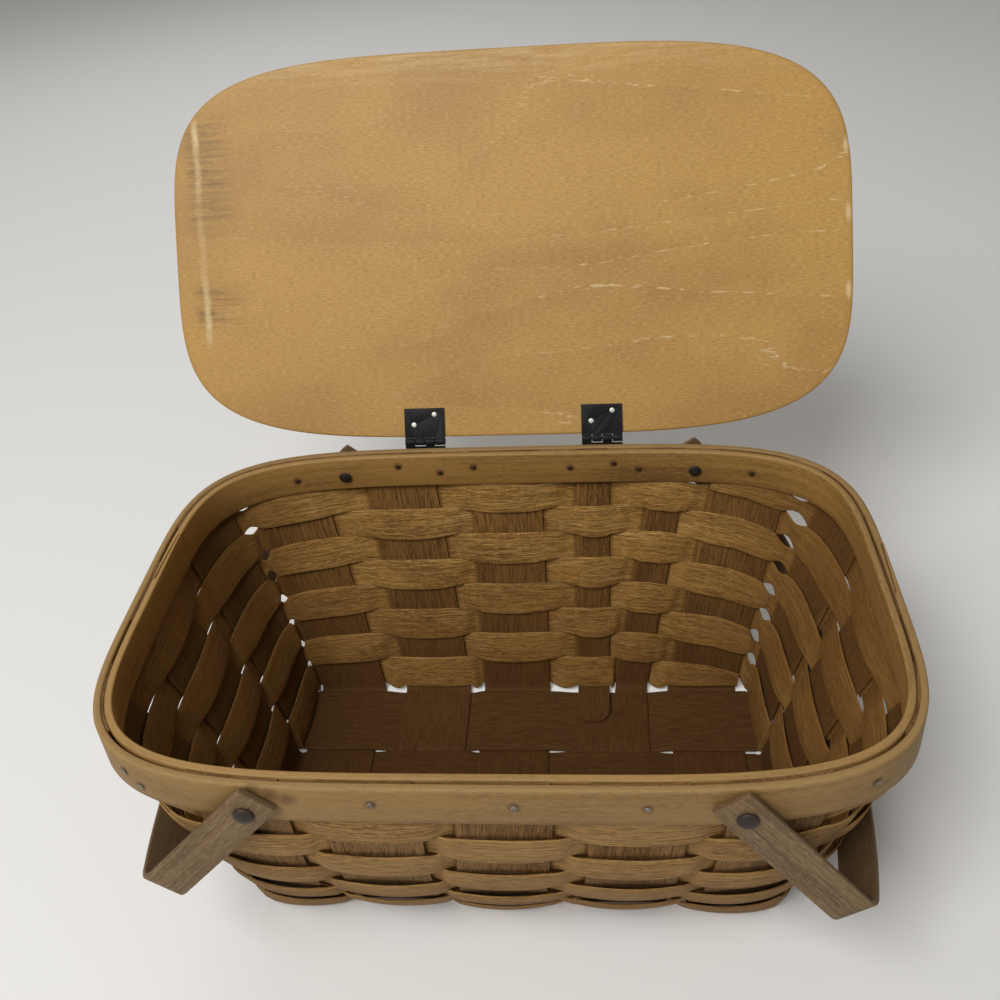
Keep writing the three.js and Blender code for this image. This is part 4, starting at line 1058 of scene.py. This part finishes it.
def lid_finish(name):
    """A honey-coloured veneer board: fine flecks, nested growth rings in cream dashes, a rubbed left edge."""
    finish = Finish(name)
    grain = finish.map("grain")
    trim = finish.map("trim")
    edge = finish.part(trim, "X")
    inside = 1 - finish.part(trim, "Y")
    x = finish.part(grain, "X")
    y = finish.part(grain, "Y")
    fleck = finish.noise(grain, (270, 1250, 1), 3, 0.7)
    fibre = finish.noise(grain, (40, 900, 1), 4, 0.7)
    cloud = finish.noise(grain, (7, 11, 1), 3, 0.55)
    rings = finish.noise(grain, (1.7, 8.5, 1), 1.5, 0.45, 0.2) * 10
    ring = rings.math("FRACT", rings)
    base = finish.layer(opaque("lid_dark"), "lid", finish.step(cloud * 0.94 + ring * 0.06, 0.3, 0.62))
    base = finish.layer(base, "lid_pale", finish.step(fleck, 0.5, 0.68) * 0.5)
    base = finish.layer(base, "lid_dark", (1 - finish.step(fleck, 0.34, 0.49)) * 0.7)
    base = finish.layer(base, "lid_dark", finish.step(fibre, 0.56, 0.8) * 0.2)
    base = finish.layer(base, "lid_stain", (1 - finish.step(fleck, 0.3, 0.46)) * 0.16)
    # Painted shade: the lid darkens towards its left and top edges
    lid_painted_shade = 0.3 - finish.step(x, -0.22, 0.0) * 0.15 - finish.step(y, -0.13, -0.03) * 0.15
    base = finish.layer(base, "lid_dark", lid_painted_shade)
    dash = finish.step(finish.noise(grain, (110, 420, 1), 2, 0.6), 0.5, 0.62)
    line = (1 - finish.step(ring, 0.02, 0.06)) * dash * (0.12 + finish.step(x, -0.03, 0.07) * 0.5)
    base = finish.layer(base, "lid_cream", line)
    wander = (finish.noise(grain, (2, 24, 1), 3) - 0.5) * 0.008
    lean = x + RUB_PLACE - y * RUB_LEAN + wander
    smudged = finish.window(y, *UPPER_SMUDGE) + finish.window(y, *LOWER_SMUDGE)
    streaks = finish.step(finish.noise(grain, (25, 260, 1), 4, 0.7), 0.38, 0.66)
    smudge = finish.window(lean, -0.012, -0.002, 0.005, 0.034) * streaks * smudged * inside
    base = finish.layer(base, "lid_stain", smudge * 0.62)
    top_wear = (1 - finish.step(y, -0.127, -0.1)) * streaks * inside
    base = finish.layer(base, "lid_cream", top_wear * 0.3)
    patchy = finish.step(finish.noise(grain, (60, 55, 1), 4, 0.75), 0.36, 0.62)
    rub_strength = (0.3 + finish.step(abs(y + 0.012), 0.02, 0.06) * 0.45) * (0.4 + patchy * 0.6)
    rub_line = 1 - finish.step(abs(lean), 0.0003, 0.0036)
    rub = rub_line * finish.window(y, *RUB_SPAN) * rub_strength * inside
    base = finish.layer(base, "lid_cream", rub)
    for place in LID_NICKS:
        base = finish.layer(base, "lid_cream", finish.spot(grain, place, NICK_RADII) * inside * 0.7)
    edge_line = finish.step(edge + (fibre - 0.5) * 0.004, 0.986, 0.997)
    base = finish.layer(base, "lid_dark", edge_line * 0.5)
    relief = fleck * 0.5 + fibre * 0.3 + rub * 0.8
    normal = finish.bump(relief, 0.0002, 0.5)
    roughness = 0.6 + (cloud - 0.5) * 0.15 - fleck * 0.08
    finish.surface(specular=0.4, base_color=base, roughness=roughness, normal=normal)
    return finish.material


def handle_finish(name):
    """Weathered strap wood: raised grey grain, painted shade on the inner faces and a stain round each rivet.
    """
    finish = Finish(name)
    grain = finish.map("grain")
    trim = finish.map("trim")
    outside = finish.part(trim, "Y")
    fibre = finish.noise(grain, (20, 1200, 1), 4, 0.68)
    ribbon = finish.noise(grain, (7, 260, 1), 3, 0.6)
    tone = finish.noise(grain, (12, 40, 1), 3, 0.55)
    speckle = finish.noise(grain, (170, 800, 1), 4, 0.75)
    crack = finish.step(finish.noise(grain, (12, 800, 1), 2, 0.5), 0.64, 0.74)
    base = finish.layer(opaque("handle_dark"), "handle", finish.step(tone * 0.5 + ribbon * 0.5, 0.36, 0.62))
    base = finish.layer(base, "handle_pale", finish.step(fibre, 0.5, 0.72) * 0.65)
    base = finish.layer(base, "handle_pale", finish.step(speckle, 0.5, 0.66) * 0.4)
    base = finish.layer(base, "handle_dark", (1 - finish.step(speckle, 0.36, 0.5)) * 0.55)
    base = finish.layer(base, "handle_dark", crack * 0.85)
    # Painted shade on the inner faces, which face the basket
    base = finish.layer(base, "handle_dark", (1 - outside) * 0.7)
    base = finish.rust(base, middles("rivet"), RIVET_STAIN, 0.6)
    relief = fibre * 0.5 + ribbon * 0.4 - crack * 0.5
    normal = finish.bump(relief, 0.0006, 0.6)
    finish.surface(specular=0.3, base_color=base, roughness=0.82 - fibre * 0.2, normal=normal)
    return finish.material


def metal_finish(name, main, worn, metallic, wear, rust=None, specular=0.5):
    """Painted or bare metal with small scuffs, and rust where it is given."""
    finish = Finish(name)
    place = finish.place()
    scuff = finish.step(finish.noise(place, (900, 900, 900), 4, 0.7), 0.62 - wear * 0.2, 0.8)
    cloud = finish.noise(place, (260, 260, 260), 3, 0.6)
    base = finish.layer(opaque(main), worn, scuff * wear)
    if rust:
        base = finish.layer(base, rust, finish.step(cloud, 0.5, 0.7) * 0.6)
    bare = metallic + scuff * (1 - metallic) * wear
    normal = finish.bump(cloud + scuff * 0.3, 0.0001, 0.5)
    roughness = 0.4 + cloud * 0.25
    finish.surface(specular, base_color=base, metallic=bare, roughness=roughness, normal=normal)
    return finish.material


# How each finish is made: its function, and what that takes after the name
RECIPES = {
    # For the splints: the share of pale streaks, then the strength of the painted shade low down
    "stake_wood": (splint_finish, "stake", 0.35, 0.92),
    "weaver_wood": (splint_finish, "weaver", 0.8, 0.5),
    "outer_rim_wood": (rim_finish, "rim"),
    "inner_rim_wood": (rim_finish, "inner_rim"),
    "lid_wood": (lid_finish,),
    "handle_wood": (handle_finish,),
    "hinge_paint": (metal_finish, "hinge", "bare_steel", 0.0, 0.2, None, 0.15),
    "nail_steel": (metal_finish, "bare_steel", "bare_steel", 1.0, 0.3),
    "inner_nail_iron": (metal_finish, "rust", "worn_nail", 0.4, 0.3, "rivet"),
    "rusty_nail": (metal_finish, "worn_nail", "bare_steel", 0.9, 0.5, "rust"),
    "rivet_iron": (metal_finish, "rivet", "bare_steel", 0.3, 0.12, "rust", 0.3),
}


def material(name):
    """A finish of this basket by its name, made once."""
    made = bpy.data.materials.get(name)
    if made:
        return made
    recipe, *values = RECIPES[name]
    return recipe(name, *values)


# Operators, one for each group of pieces

# Where the numbers that move the grain start in each group
WEAVER_SEED = 20
RIM_SEED = 40
HANDLE_SEED = 50
# How far inside the lid's edge the rings of its flat faces lie, its rings round each corner of the edge,
# and the points of each ring
LID_INSETS = (0.126, 0.08, 0.03, 0.008, 0.003)
LID_EDGE_RINGS = 5
LID_POINTS = 320
# Corners of the hinges that lie this close are merged, and edges that bend less than this are dissolved
MERGE_DISTANCE = 1e-6
FLAT_ANGLE = math.radians(1)
# Edges of the hinges that bend more than this are eased, and only faces smaller than this are smoothed
SHARP_EDGE = math.radians(40)
FLAT_FACE_AREA = 4e-6
HINGE_SMOOTH_ANGLE = math.radians(35)
# Stations along a strap's leg, its bend and half its grip
LEG_STEPS = 24
STRAP_BEND_STEPS = 14
GRIP_STEPS = 24
# How much of its width a strap keeps at its two ends
STRAP_END_SHARE = 0.93
# Half the stretch of a grip that shows how its handle hangs
GRIP_HALF = 0.02
# Rings of a rivet's dome, and the points of each
DOME_RINGS = 9
RIVET_POINTS = 32


class BasketOperator:
    """What the basket's operators share."""

    bl_options = {"REGISTER", "UNDO"}

    @staticmethod
    def wall(context):
        """The wall at the present sizes."""
        return Wall(context.scene.basket_body)


class BASKET_OT_splints(BasketOperator, bpy.types.Operator):
    """Builds the floor and wall splints"""

    bl_idname = "basket.splints"
    bl_label = "Floor and wall splints"

    def execute(self, context):
        wall = self.wall(context)
        grids = {}
        for index in range(wall.sizes.crosswise_count):
            grids[f"crosswise_splint_{index + 1}"] = crosswise_grid(wall, index)
        for index in range(wall.sizes.lengthwise_count):
            grids[f"lengthwise_splint_{index + 1}"] = lengthwise_grid(wall, index)
        grids["split_stake"] = added_stake_grid(wall)
        for seed, (node, grid) in enumerate(grids.items(), start=1):
            rough = rough_edges(grid, wall.sizes.edge_roughness, seed)
            rings = strip_rings(rough, wall.sizes.stake_thickness)
            mesh = swept_mesh(f"{node}_wood", rings, STRIP_TRIM, seed)
            add_piece(mesh, material("stake_wood"), "basket", [node])
        return {"FINISHED"}


class BASKET_OT_weavers(BasketOperator, bpy.types.Operator):
    """Builds the strips of the spiral weave"""

    bl_idname = "basket.weavers"
    bl_label = "Weavers"

    def execute(self, context):
        wall = self.wall(context)
        weave = Weave(wall)
        for strip, (first, last) in enumerate(weave.ends(), start=1):
            seed = strip + WEAVER_SEED
            grid, stand = weave.strip_grid(first, last)
            rough = rough_edges(grid, wall.sizes.edge_roughness, seed)
            rings = strip_rings(rough, wall.sizes.weaver_thickness)
            mesh = swept_mesh(f"weaver_{strip}_wood", rings, STRIP_TRIM, seed, stand)
            add_piece(mesh, material("weaver_wood"), "basket", [f"weaver_{strip}"])
        return {"FINISHED"}


class BASKET_OT_rim(BasketOperator, bpy.types.Operator):
    """Builds the two bent rim bands"""

    bl_idname = "basket.rim"
    bl_label = "Rim bands"

    def execute(self, context):
        wall = self.wall(context)
        near = wall.band_inset - wall.sizes.band_fill
        bands = {
            "outer_rim": (near, wall.band_outside, wall.sizes.outer_lap),
            "inner_rim": (-wall.band_outside, -near, wall.sizes.inner_lap),
        }
        for seed, (node, (inside, outside, lap)) in enumerate(bands.items(), start=RIM_SEED):
            rings, trim = band_rings(wall, inside, outside, lap)
            if node == "inner_rim":
                trim[:, 1] = 1 - trim[:, 1]
            mesh = swept_mesh(f"{node}_wood", rings, trim, seed)
            add_piece(mesh, material(f"{node}_wood"), "basket", [node])
        return {"FINISHED"}


def lid_rest():
    """The turn that carries the closed lid to its open rest about the hinge pins."""
    hinge = JOINTS["lid_hinge"]
    open_angle = math.radians(hinge["range_deg"][1])
    return Matrix.Translation(hinge["pos_m"]) @ Matrix.Rotation(-open_angle, 4, "X")


class BASKET_OT_lid(BasketOperator, bpy.types.Operator):
    """Builds the lid's board"""

    bl_idname = "basket.lid"
    bl_label = "Lid"

    def rings(self, sizes):
        """Rings of the board from inside its lower face, round its edge, to inside its upper face."""
        direction = np.linspace(0, 2 * math.pi, LID_POINTS, endpoint=False)
        reach = superellipse(direction, sizes.lid_squareness)
        profile = [(inset, 0.0) for inset in LID_INSETS]
        for turn in np.linspace(0, math.pi / 2, LID_EDGE_RINGS):
            profile.append((sizes.lid_round * (1 - math.sin(turn)), sizes.lid_round * (1 - math.cos(turn))))
        profile += [(inset, sizes.lid_thickness - height) for inset, height in reversed(profile)]
        rings = []
        for inset, height in profile:
            x = (sizes.lid_length / 2 - inset) * reach * np.cos(direction)
            y = (sizes.lid_depth / 2 - inset) * reach * np.sin(direction)
            rings.append(np.stack([x, y, np.full_like(x, height)], axis=-1))
        return np.array(rings)

    def map_flat(self, mesh, places, sizes):
        """Lays the grain map flat on the board, and marks its edge and its upper face in the trim map."""
        corners = np.empty(len(mesh.loops), np.int32)
        mesh.loops.foreach_get("vertex_index", corners)
        x, y, height = places[corners].T
        along = x / (sizes.lid_length / 2)
        across = y / (sizes.lid_depth / 2)
        edge = np.hypot(along, across) / superellipse(np.arctan2(across, along), sizes.lid_squareness)
        upper = height > sizes.lid_thickness / 2
        for name, pair in (("grain", (x, y)), ("trim", (edge, upper))):
            values = np.stack(pair, axis=-1).astype(np.float32)
            mesh.uv_layers[name].uv.foreach_set("vector", values.ravel())

    def execute(self, context):
        sizes = context.scene.basket_fittings
        rings = self.rings(sizes)
        mesh = swept_mesh("lid_board", rings)
        self.map_flat(mesh, rings.reshape(-1, 3), sizes)
        pin = Vector(JOINTS["lid_hinge"]["pos_m"])
        rear = RIM_HIGH.y - sizes.lid_setback - pin.y
        under = RIM_HIGH.z + sizes.lid_rest_gap - pin.z
        closed = Matrix.Translation((sizes.lid_shift, rear - sizes.lid_depth / 2, under))
        mesh.transform(lid_rest() @ closed)
        add_piece(mesh, material("lid_wood"), "lid", ["lid"])
        return {"FINISHED"}


def eased_copy(node, rounding):
    """A copy of a node's mesh with its edges eased."""
    mesh = frame["nodes"][node].data.copy()
    mesh.name = f"{node}_metal"
    mesh.materials.clear()
    mesh.attributes.remove(mesh.attributes["custom_normal"])
    work = bmesh.new()
    work.from_mesh(mesh)
    bmesh.ops.remove_doubles(work, verts=work.verts, dist=MERGE_DISTANCE)
    bmesh.ops.dissolve_limit(work, angle_limit=FLAT_ANGLE, verts=work.verts, edges=work.edges)
    sharp = [edge for edge in work.edges if edge.is_manifold and edge.calc_face_angle(0) > SHARP_EDGE]
    bmesh.ops.bevel(
        work, geom=sharp, offset=rounding, segments=2, profile=0.5, affect="EDGES", clamp_overlap=True
    )
    for face in work.faces:
        face.smooth = face.calc_area() < FLAT_FACE_AREA
    work.to_mesh(mesh)
    work.free()
    mesh.set_sharp_from_angle(angle=HINGE_SMOOTH_ANGLE)
    return mesh


class BASKET_OT_hinges(BasketOperator, bpy.types.Operator):
    """Builds the hinge leaves and pins"""

    bl_idname = "basket.hinges"
    bl_label = "Hinges"

    def execute(self, context):
        rounding = context.scene.basket_fittings.hinge_round
        for side in ("left", "right"):
            for part, body in (("lid_leaf", "lid"), ("rim_leaf", "basket"), ("pin", "basket")):
                node = f"hinge_{part}_{side}"
                add_piece(eased_copy(node, rounding), material("hinge_paint"), body, [node])
        return {"FINISHED"}


def strap_path(sizes, reach):
    """The middle line of a handle's strap from end to end, with the pivot at the origin."""
    side = RIM_HIGH.y + sizes.strap_gap + sizes.strap_thickness / 2
    bow = sizes.handle_bow
    corner = sizes.handle_corner
    centre = reach - bow
    corner_side = side - corner
    corner_reach = centre + math.sqrt((bow - corner) ** 2 - corner_side**2)
    meeting = math.atan2(corner_side, corner_reach - centre)
    half = [(along, side) for along in np.linspace(-sizes.strap_end, corner_reach, LEG_STEPS)]
    for turn in np.linspace(math.pi / 2, meeting, STRAP_BEND_STEPS)[1:]:
        half.append((corner_reach + corner * math.cos(turn), corner_side + corner * math.sin(turn)))
    for turn in np.linspace(meeting, 0, GRIP_STEPS)[1:]:
        half.append((centre + bow * math.cos(turn), bow * math.sin(turn)))
    half = np.array(half)
    other = half[-2::-1] * np.array([1, -1])
    return np.concatenate([half, other])


def handle_rest(side, pivot):
    """The turn that hangs a handle as its node hangs, read from the middle of its grip."""
    vertices = frame["nodes"][f"handle_{side}"].data.vertices
    places = [vertex.co for vertex in vertices if abs(vertex.co.y) < GRIP_HALF]
    grip = sum(places, Vector()) / len(places) - pivot
    hang = math.atan2(-grip.z, abs(grip.x))
    if side == "right":
        return Matrix.Translation(pivot) @ Matrix.Rotation(hang, 4, "Y")
    return Matrix.Translation(pivot) @ Matrix.Rotation(-hang, 4, "Y") @ Matrix.Rotation(math.pi, 4, "Z")


class BASKET_OT_handles(BasketOperator, bpy.types.Operator):
    """Builds the swing handles"""

    bl_idname = "basket.handles"
    bl_label = "Handles"

    def execute(self, context):
        sizes = context.scene.basket_fittings
        outline = rounded_rectangle(sizes.strap_thickness, sizes.strap_width, sizes.strap_round)
        trim = np.stack([outline[:, 1] / sizes.strap_width + 0.5, (outline[:, 0] > 0).astype(float)], axis=-1)
        reaches = {"left": sizes.left_reach, "right": sizes.right_reach}
        for seed, (side, reach) in enumerate(reaches.items(), start=HANDLE_SEED):
            path = strap_path(sizes, reach)
            along = unit(np.gradient(path, axis=0))
            outward = np.stack([-along[:, 1], along[:, 0]], axis=-1)
            shares = np.ones(len(path))
            shares[[0, -1]] = STRAP_END_SHARE
            rings = []
            for place, out, share in zip(path, outward, shares):
                flat = place + out * outline[:, :1]
                rings.append(np.concatenate([flat, outline[:, 1:] * share], axis=1))
            mesh = swept_mesh(f"handle_{side}_wood", np.array(rings), trim, seed)
            pivot = Vector(JOINTS[f"{side}_handle_swing"]["pos_m"])
            mesh.transform(handle_rest(side, pivot))
            add_piece(mesh, material("handle_wood"), f"handle_{side}", [f"handle_{side}"])
        return {"FINISHED"}


def seat(node, axis):
    """The point of a fastener's head that stands furthest out along its axis."""
    places = [vertex.co for vertex in frame["nodes"][node].data.vertices]
    low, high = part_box(node)
    middle = (low + high) / 2
    top = max((place - middle).dot(axis) for place in places)
    return middle + axis * top


class BASKET_OT_fasteners(BasketOperator, bpy.types.Operator):
    """Builds the nails and rivets"""

    bl_idname = "basket.fasteners"
    bl_label = "Nails and rivets"

    def nail(self, sizes, node, axis, body, finish):
        """One nail with a slightly domed head."""
        head = sizes.nail_head_radius
        shank = sizes.nail_shank_radius
        tall = sizes.nail_head_height
        depth = sizes.nail_depth + tall
        profile = [
            (shank * 0.1, -depth),
            (shank, -depth + shank),
            (shank, -tall),
            (head * 0.94, -tall),
            (head, -tall * 0.7),
            (head * 0.92, -tall * 0.3),
            (head * 0.7, -tall * 0.08),
            (head * 0.35, 0),
            (head * 0.05, 0),
        ]
        mesh = turned_mesh(f"{node}_metal", profile, seat(node, axis), axis)
        add_piece(mesh, material(finish), body, [node])

    def rivet(self, sizes, node, axis):
        """One rivet, its dome outside and its burr inside the rim."""
        low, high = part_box(node)
        length = high.y - low.y
        dome = sizes.rivet_head_radius
        tall = sizes.rivet_head_height
        shank = sizes.rivet_shank_radius
        burr = sizes.rivet_burr_radius
        flat = sizes.rivet_burr_height
        ease_in = 0.0003
        brim = tall * 0.9
        inner = flat - length
        profile = [(burr * 0.05, -length), (burr - ease_in, -length), (burr, -length + ease_in)]
        profile += [(burr, inner - ease_in), (burr - ease_in, inner), (shank, inner)]
        profile += [(shank, -tall), (dome * 0.97, -tall), (dome, -brim)]
        for turn in np.linspace(0, math.pi / 2 * SHORT_OF_TIP, DOME_RINGS)[1:]:
            profile.append((dome * math.cos(turn), -brim + brim * math.sin(turn)))
        mesh = turned_mesh(f"{node}_metal", profile, seat(node, axis), axis, RIVET_POINTS)
        add_piece(mesh, material("rivet_iron"), "basket", [node])

    def execute(self, context):
        wall = self.wall(context)
        sizes = context.scene.basket_fittings
        under_lid = lid_rest().to_3x3() @ Vector((0, 0, -1))
        back = Vector((0, 1, 0))
        for node in frame["nodes"]:
            low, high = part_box(node)
            middle = (low + high) / 2
            direction = math.atan2(middle.y / wall.half_depth, middle.x / wall.half_length)
            outward = Vector(wall.normal(np.array(direction), np.array(wall.rim_top)))
            if node.startswith("lid_leaf_nail"):
                self.nail(sizes, node, under_lid, "lid", "nail_steel")
            elif node.startswith("rim_leaf_nail"):
                self.nail(sizes, node, back, "basket", "nail_steel")
            elif node.startswith("outer_rim_nail"):
                self.nail(sizes, node, outward, "basket", "rusty_nail")
            elif node.startswith("inner_rim_nail"):
                self.nail(sizes, node, -outward, "basket", "inner_nail_iron")
            elif node.startswith("rivet"):
                self.rivet(sizes, node, back if middle.y > 0 else -back)
        return {"FINISHED"}


class BASKET_OT_stage(BasketOperator, bpy.types.Operator):
    """Sets the floor, the light and the camera"""

    bl_idname = "basket.stage"
    bl_label = "Stage"

    def floor(self, scene, reach):
        """A wide plain floor."""
        mesh = bpy.data.meshes.new("stage_floor")
        corners = [(-reach, -reach, 0), (reach, -reach, 0), (reach, reach, 0), (-reach, reach, 0)]
        mesh.from_pydata(corners, [], [(0, 1, 2, 3)])
        floor = bpy.data.objects.new("stage_floor", mesh)
        scene.collection.objects.link(floor)
        finish = Finish("stage_floor")
        finish.surface(base_color=opaque("floor"), roughness=0.7)
        mesh.materials.append(finish.material)

    def world(self, scene, strength):
        """Even light from all round, and a plain backdrop for what looks past the object."""
        world = bpy.data.worlds.new("stage_sky")
        world.use_nodes = True
        sky = Nodes(world.node_tree)
        light = sky.node("ShaderNodeBackground", None, {"Color": opaque("sky"), "Strength": strength})
        shown = sky.node("ShaderNodeBackground", None, {"Color": opaque("backdrop")})
        rays = ("Camera", "Glossy", "Transmission")
        seen, mirrored, through = (sky.node("ShaderNodeLightPath", output=f"Is {ray} Ray") for ray in rays)
        mixed = sky.node("ShaderNodeMixShader", None, {0: seen + mirrored + through, 1: light, 2: shown})
        sky.feed(world.node_tree.nodes["World Output"].inputs["Surface"], mixed)
        scene.world = world

    def lamp(self, scene, name, place, aim, width, power):
        """A soft square light that points at a place."""
        light = bpy.data.lights.new(name, "AREA")
        light.energy = power
        light.size = width
        lamp = bpy.data.objects.new(name, light)
        lamp.location = place
        lamp.rotation_euler = (Vector(aim) - Vector(place)).to_track_quat("-Z", "Y").to_euler()
        scene.collection.objects.link(lamp)

    def camera(self, scene, stage):
        """A camera at the viewing angle of the reference picture."""
        yaw, pitch, roll = stage.camera_yaw, stage.camera_pitch, stage.camera_roll
        forward = Vector((math.sin(yaw) * math.cos(pitch), math.cos(yaw) * math.cos(pitch), -math.sin(pitch)))
        level = Vector((math.cos(yaw), -math.sin(yaw), 0))
        upright = level.cross(forward)
        right = level * math.cos(roll) + upright * math.sin(roll)
        up = upright * math.cos(roll) - level * math.sin(roll)
        data = bpy.data.cameras.new("stage_camera")
        data.lens = stage.camera_lens
        data.shift_x = stage.camera_shift_x
        data.shift_y = stage.camera_shift_y
        data.clip_start = 0.01
        camera = bpy.data.objects.new("stage_camera", data)
        turn = Matrix((right, up, -forward)).transposed().to_4x4()
        camera.matrix_world = Matrix.Translation(stage.camera_place) @ turn
        scene.collection.objects.link(camera)
        scene.camera = camera

    def execute(self, context):
        scene = context.scene
        stage = scene.basket_stage
        self.floor(scene, stage.floor_reach)
        self.world(scene, stage.sky_strength)
        self.lamp(scene, "key_light", stage.key_place, stage.key_aim, stage.key_width, stage.key_power)
        self.lamp(scene, "back_light", stage.back_place, stage.back_aim, stage.back_width, stage.back_power)
        self.camera(scene, stage)
        scene.view_settings.view_transform = "Standard"
        return {"FINISHED"}


class BASKET_PT_panel(bpy.types.Panel):
    """Lists the basket's operators"""

    bl_label = "Splint Picnic Basket"
    bl_idname = "BASKET_PT_panel"
    bl_space_type = "VIEW_3D"
    bl_region_type = "UI"
    bl_category = "Basket"

    def draw(self, context):
        for operator in OPERATORS:
            self.layout.operator(operator.bl_idname)


OPERATORS = (
    BASKET_OT_stage,
    BASKET_OT_splints,
    BASKET_OT_weavers,
    BASKET_OT_rim,
    BASKET_OT_lid,
    BASKET_OT_hinges,
    BASKET_OT_handles,
    BASKET_OT_fasteners,
)
SETTINGS = {
    "basket_body": BodySizes,
    "basket_fittings": FittingSizes,
    "basket_colours": Colours,
    "basket_stage": StageSettings,
}
CLASSES = (*SETTINGS.values(), *OPERATORS, BASKET_PT_panel)


def register():
    """Registers the classes and the scene's settings."""
    for item in CLASSES:
        bpy.utils.register_class(item)
    for name, group in SETTINGS.items():
        setattr(bpy.types.Scene, name, PointerProperty(type=group))


def unregister():
    """Removes the scene's settings and the classes."""
    for name in SETTINGS:
        delattr(bpy.types.Scene, name)
    for item in reversed(CLASSES):
        bpy.utils.unregister_class(item)


def main():
    """Builds the basket."""
    register()
    for operator in OPERATORS:
        group, name = operator.bl_idname.split(".")
        getattr(getattr(bpy.ops, group), name)()
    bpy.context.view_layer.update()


if __name__ == "__main__":
    main()
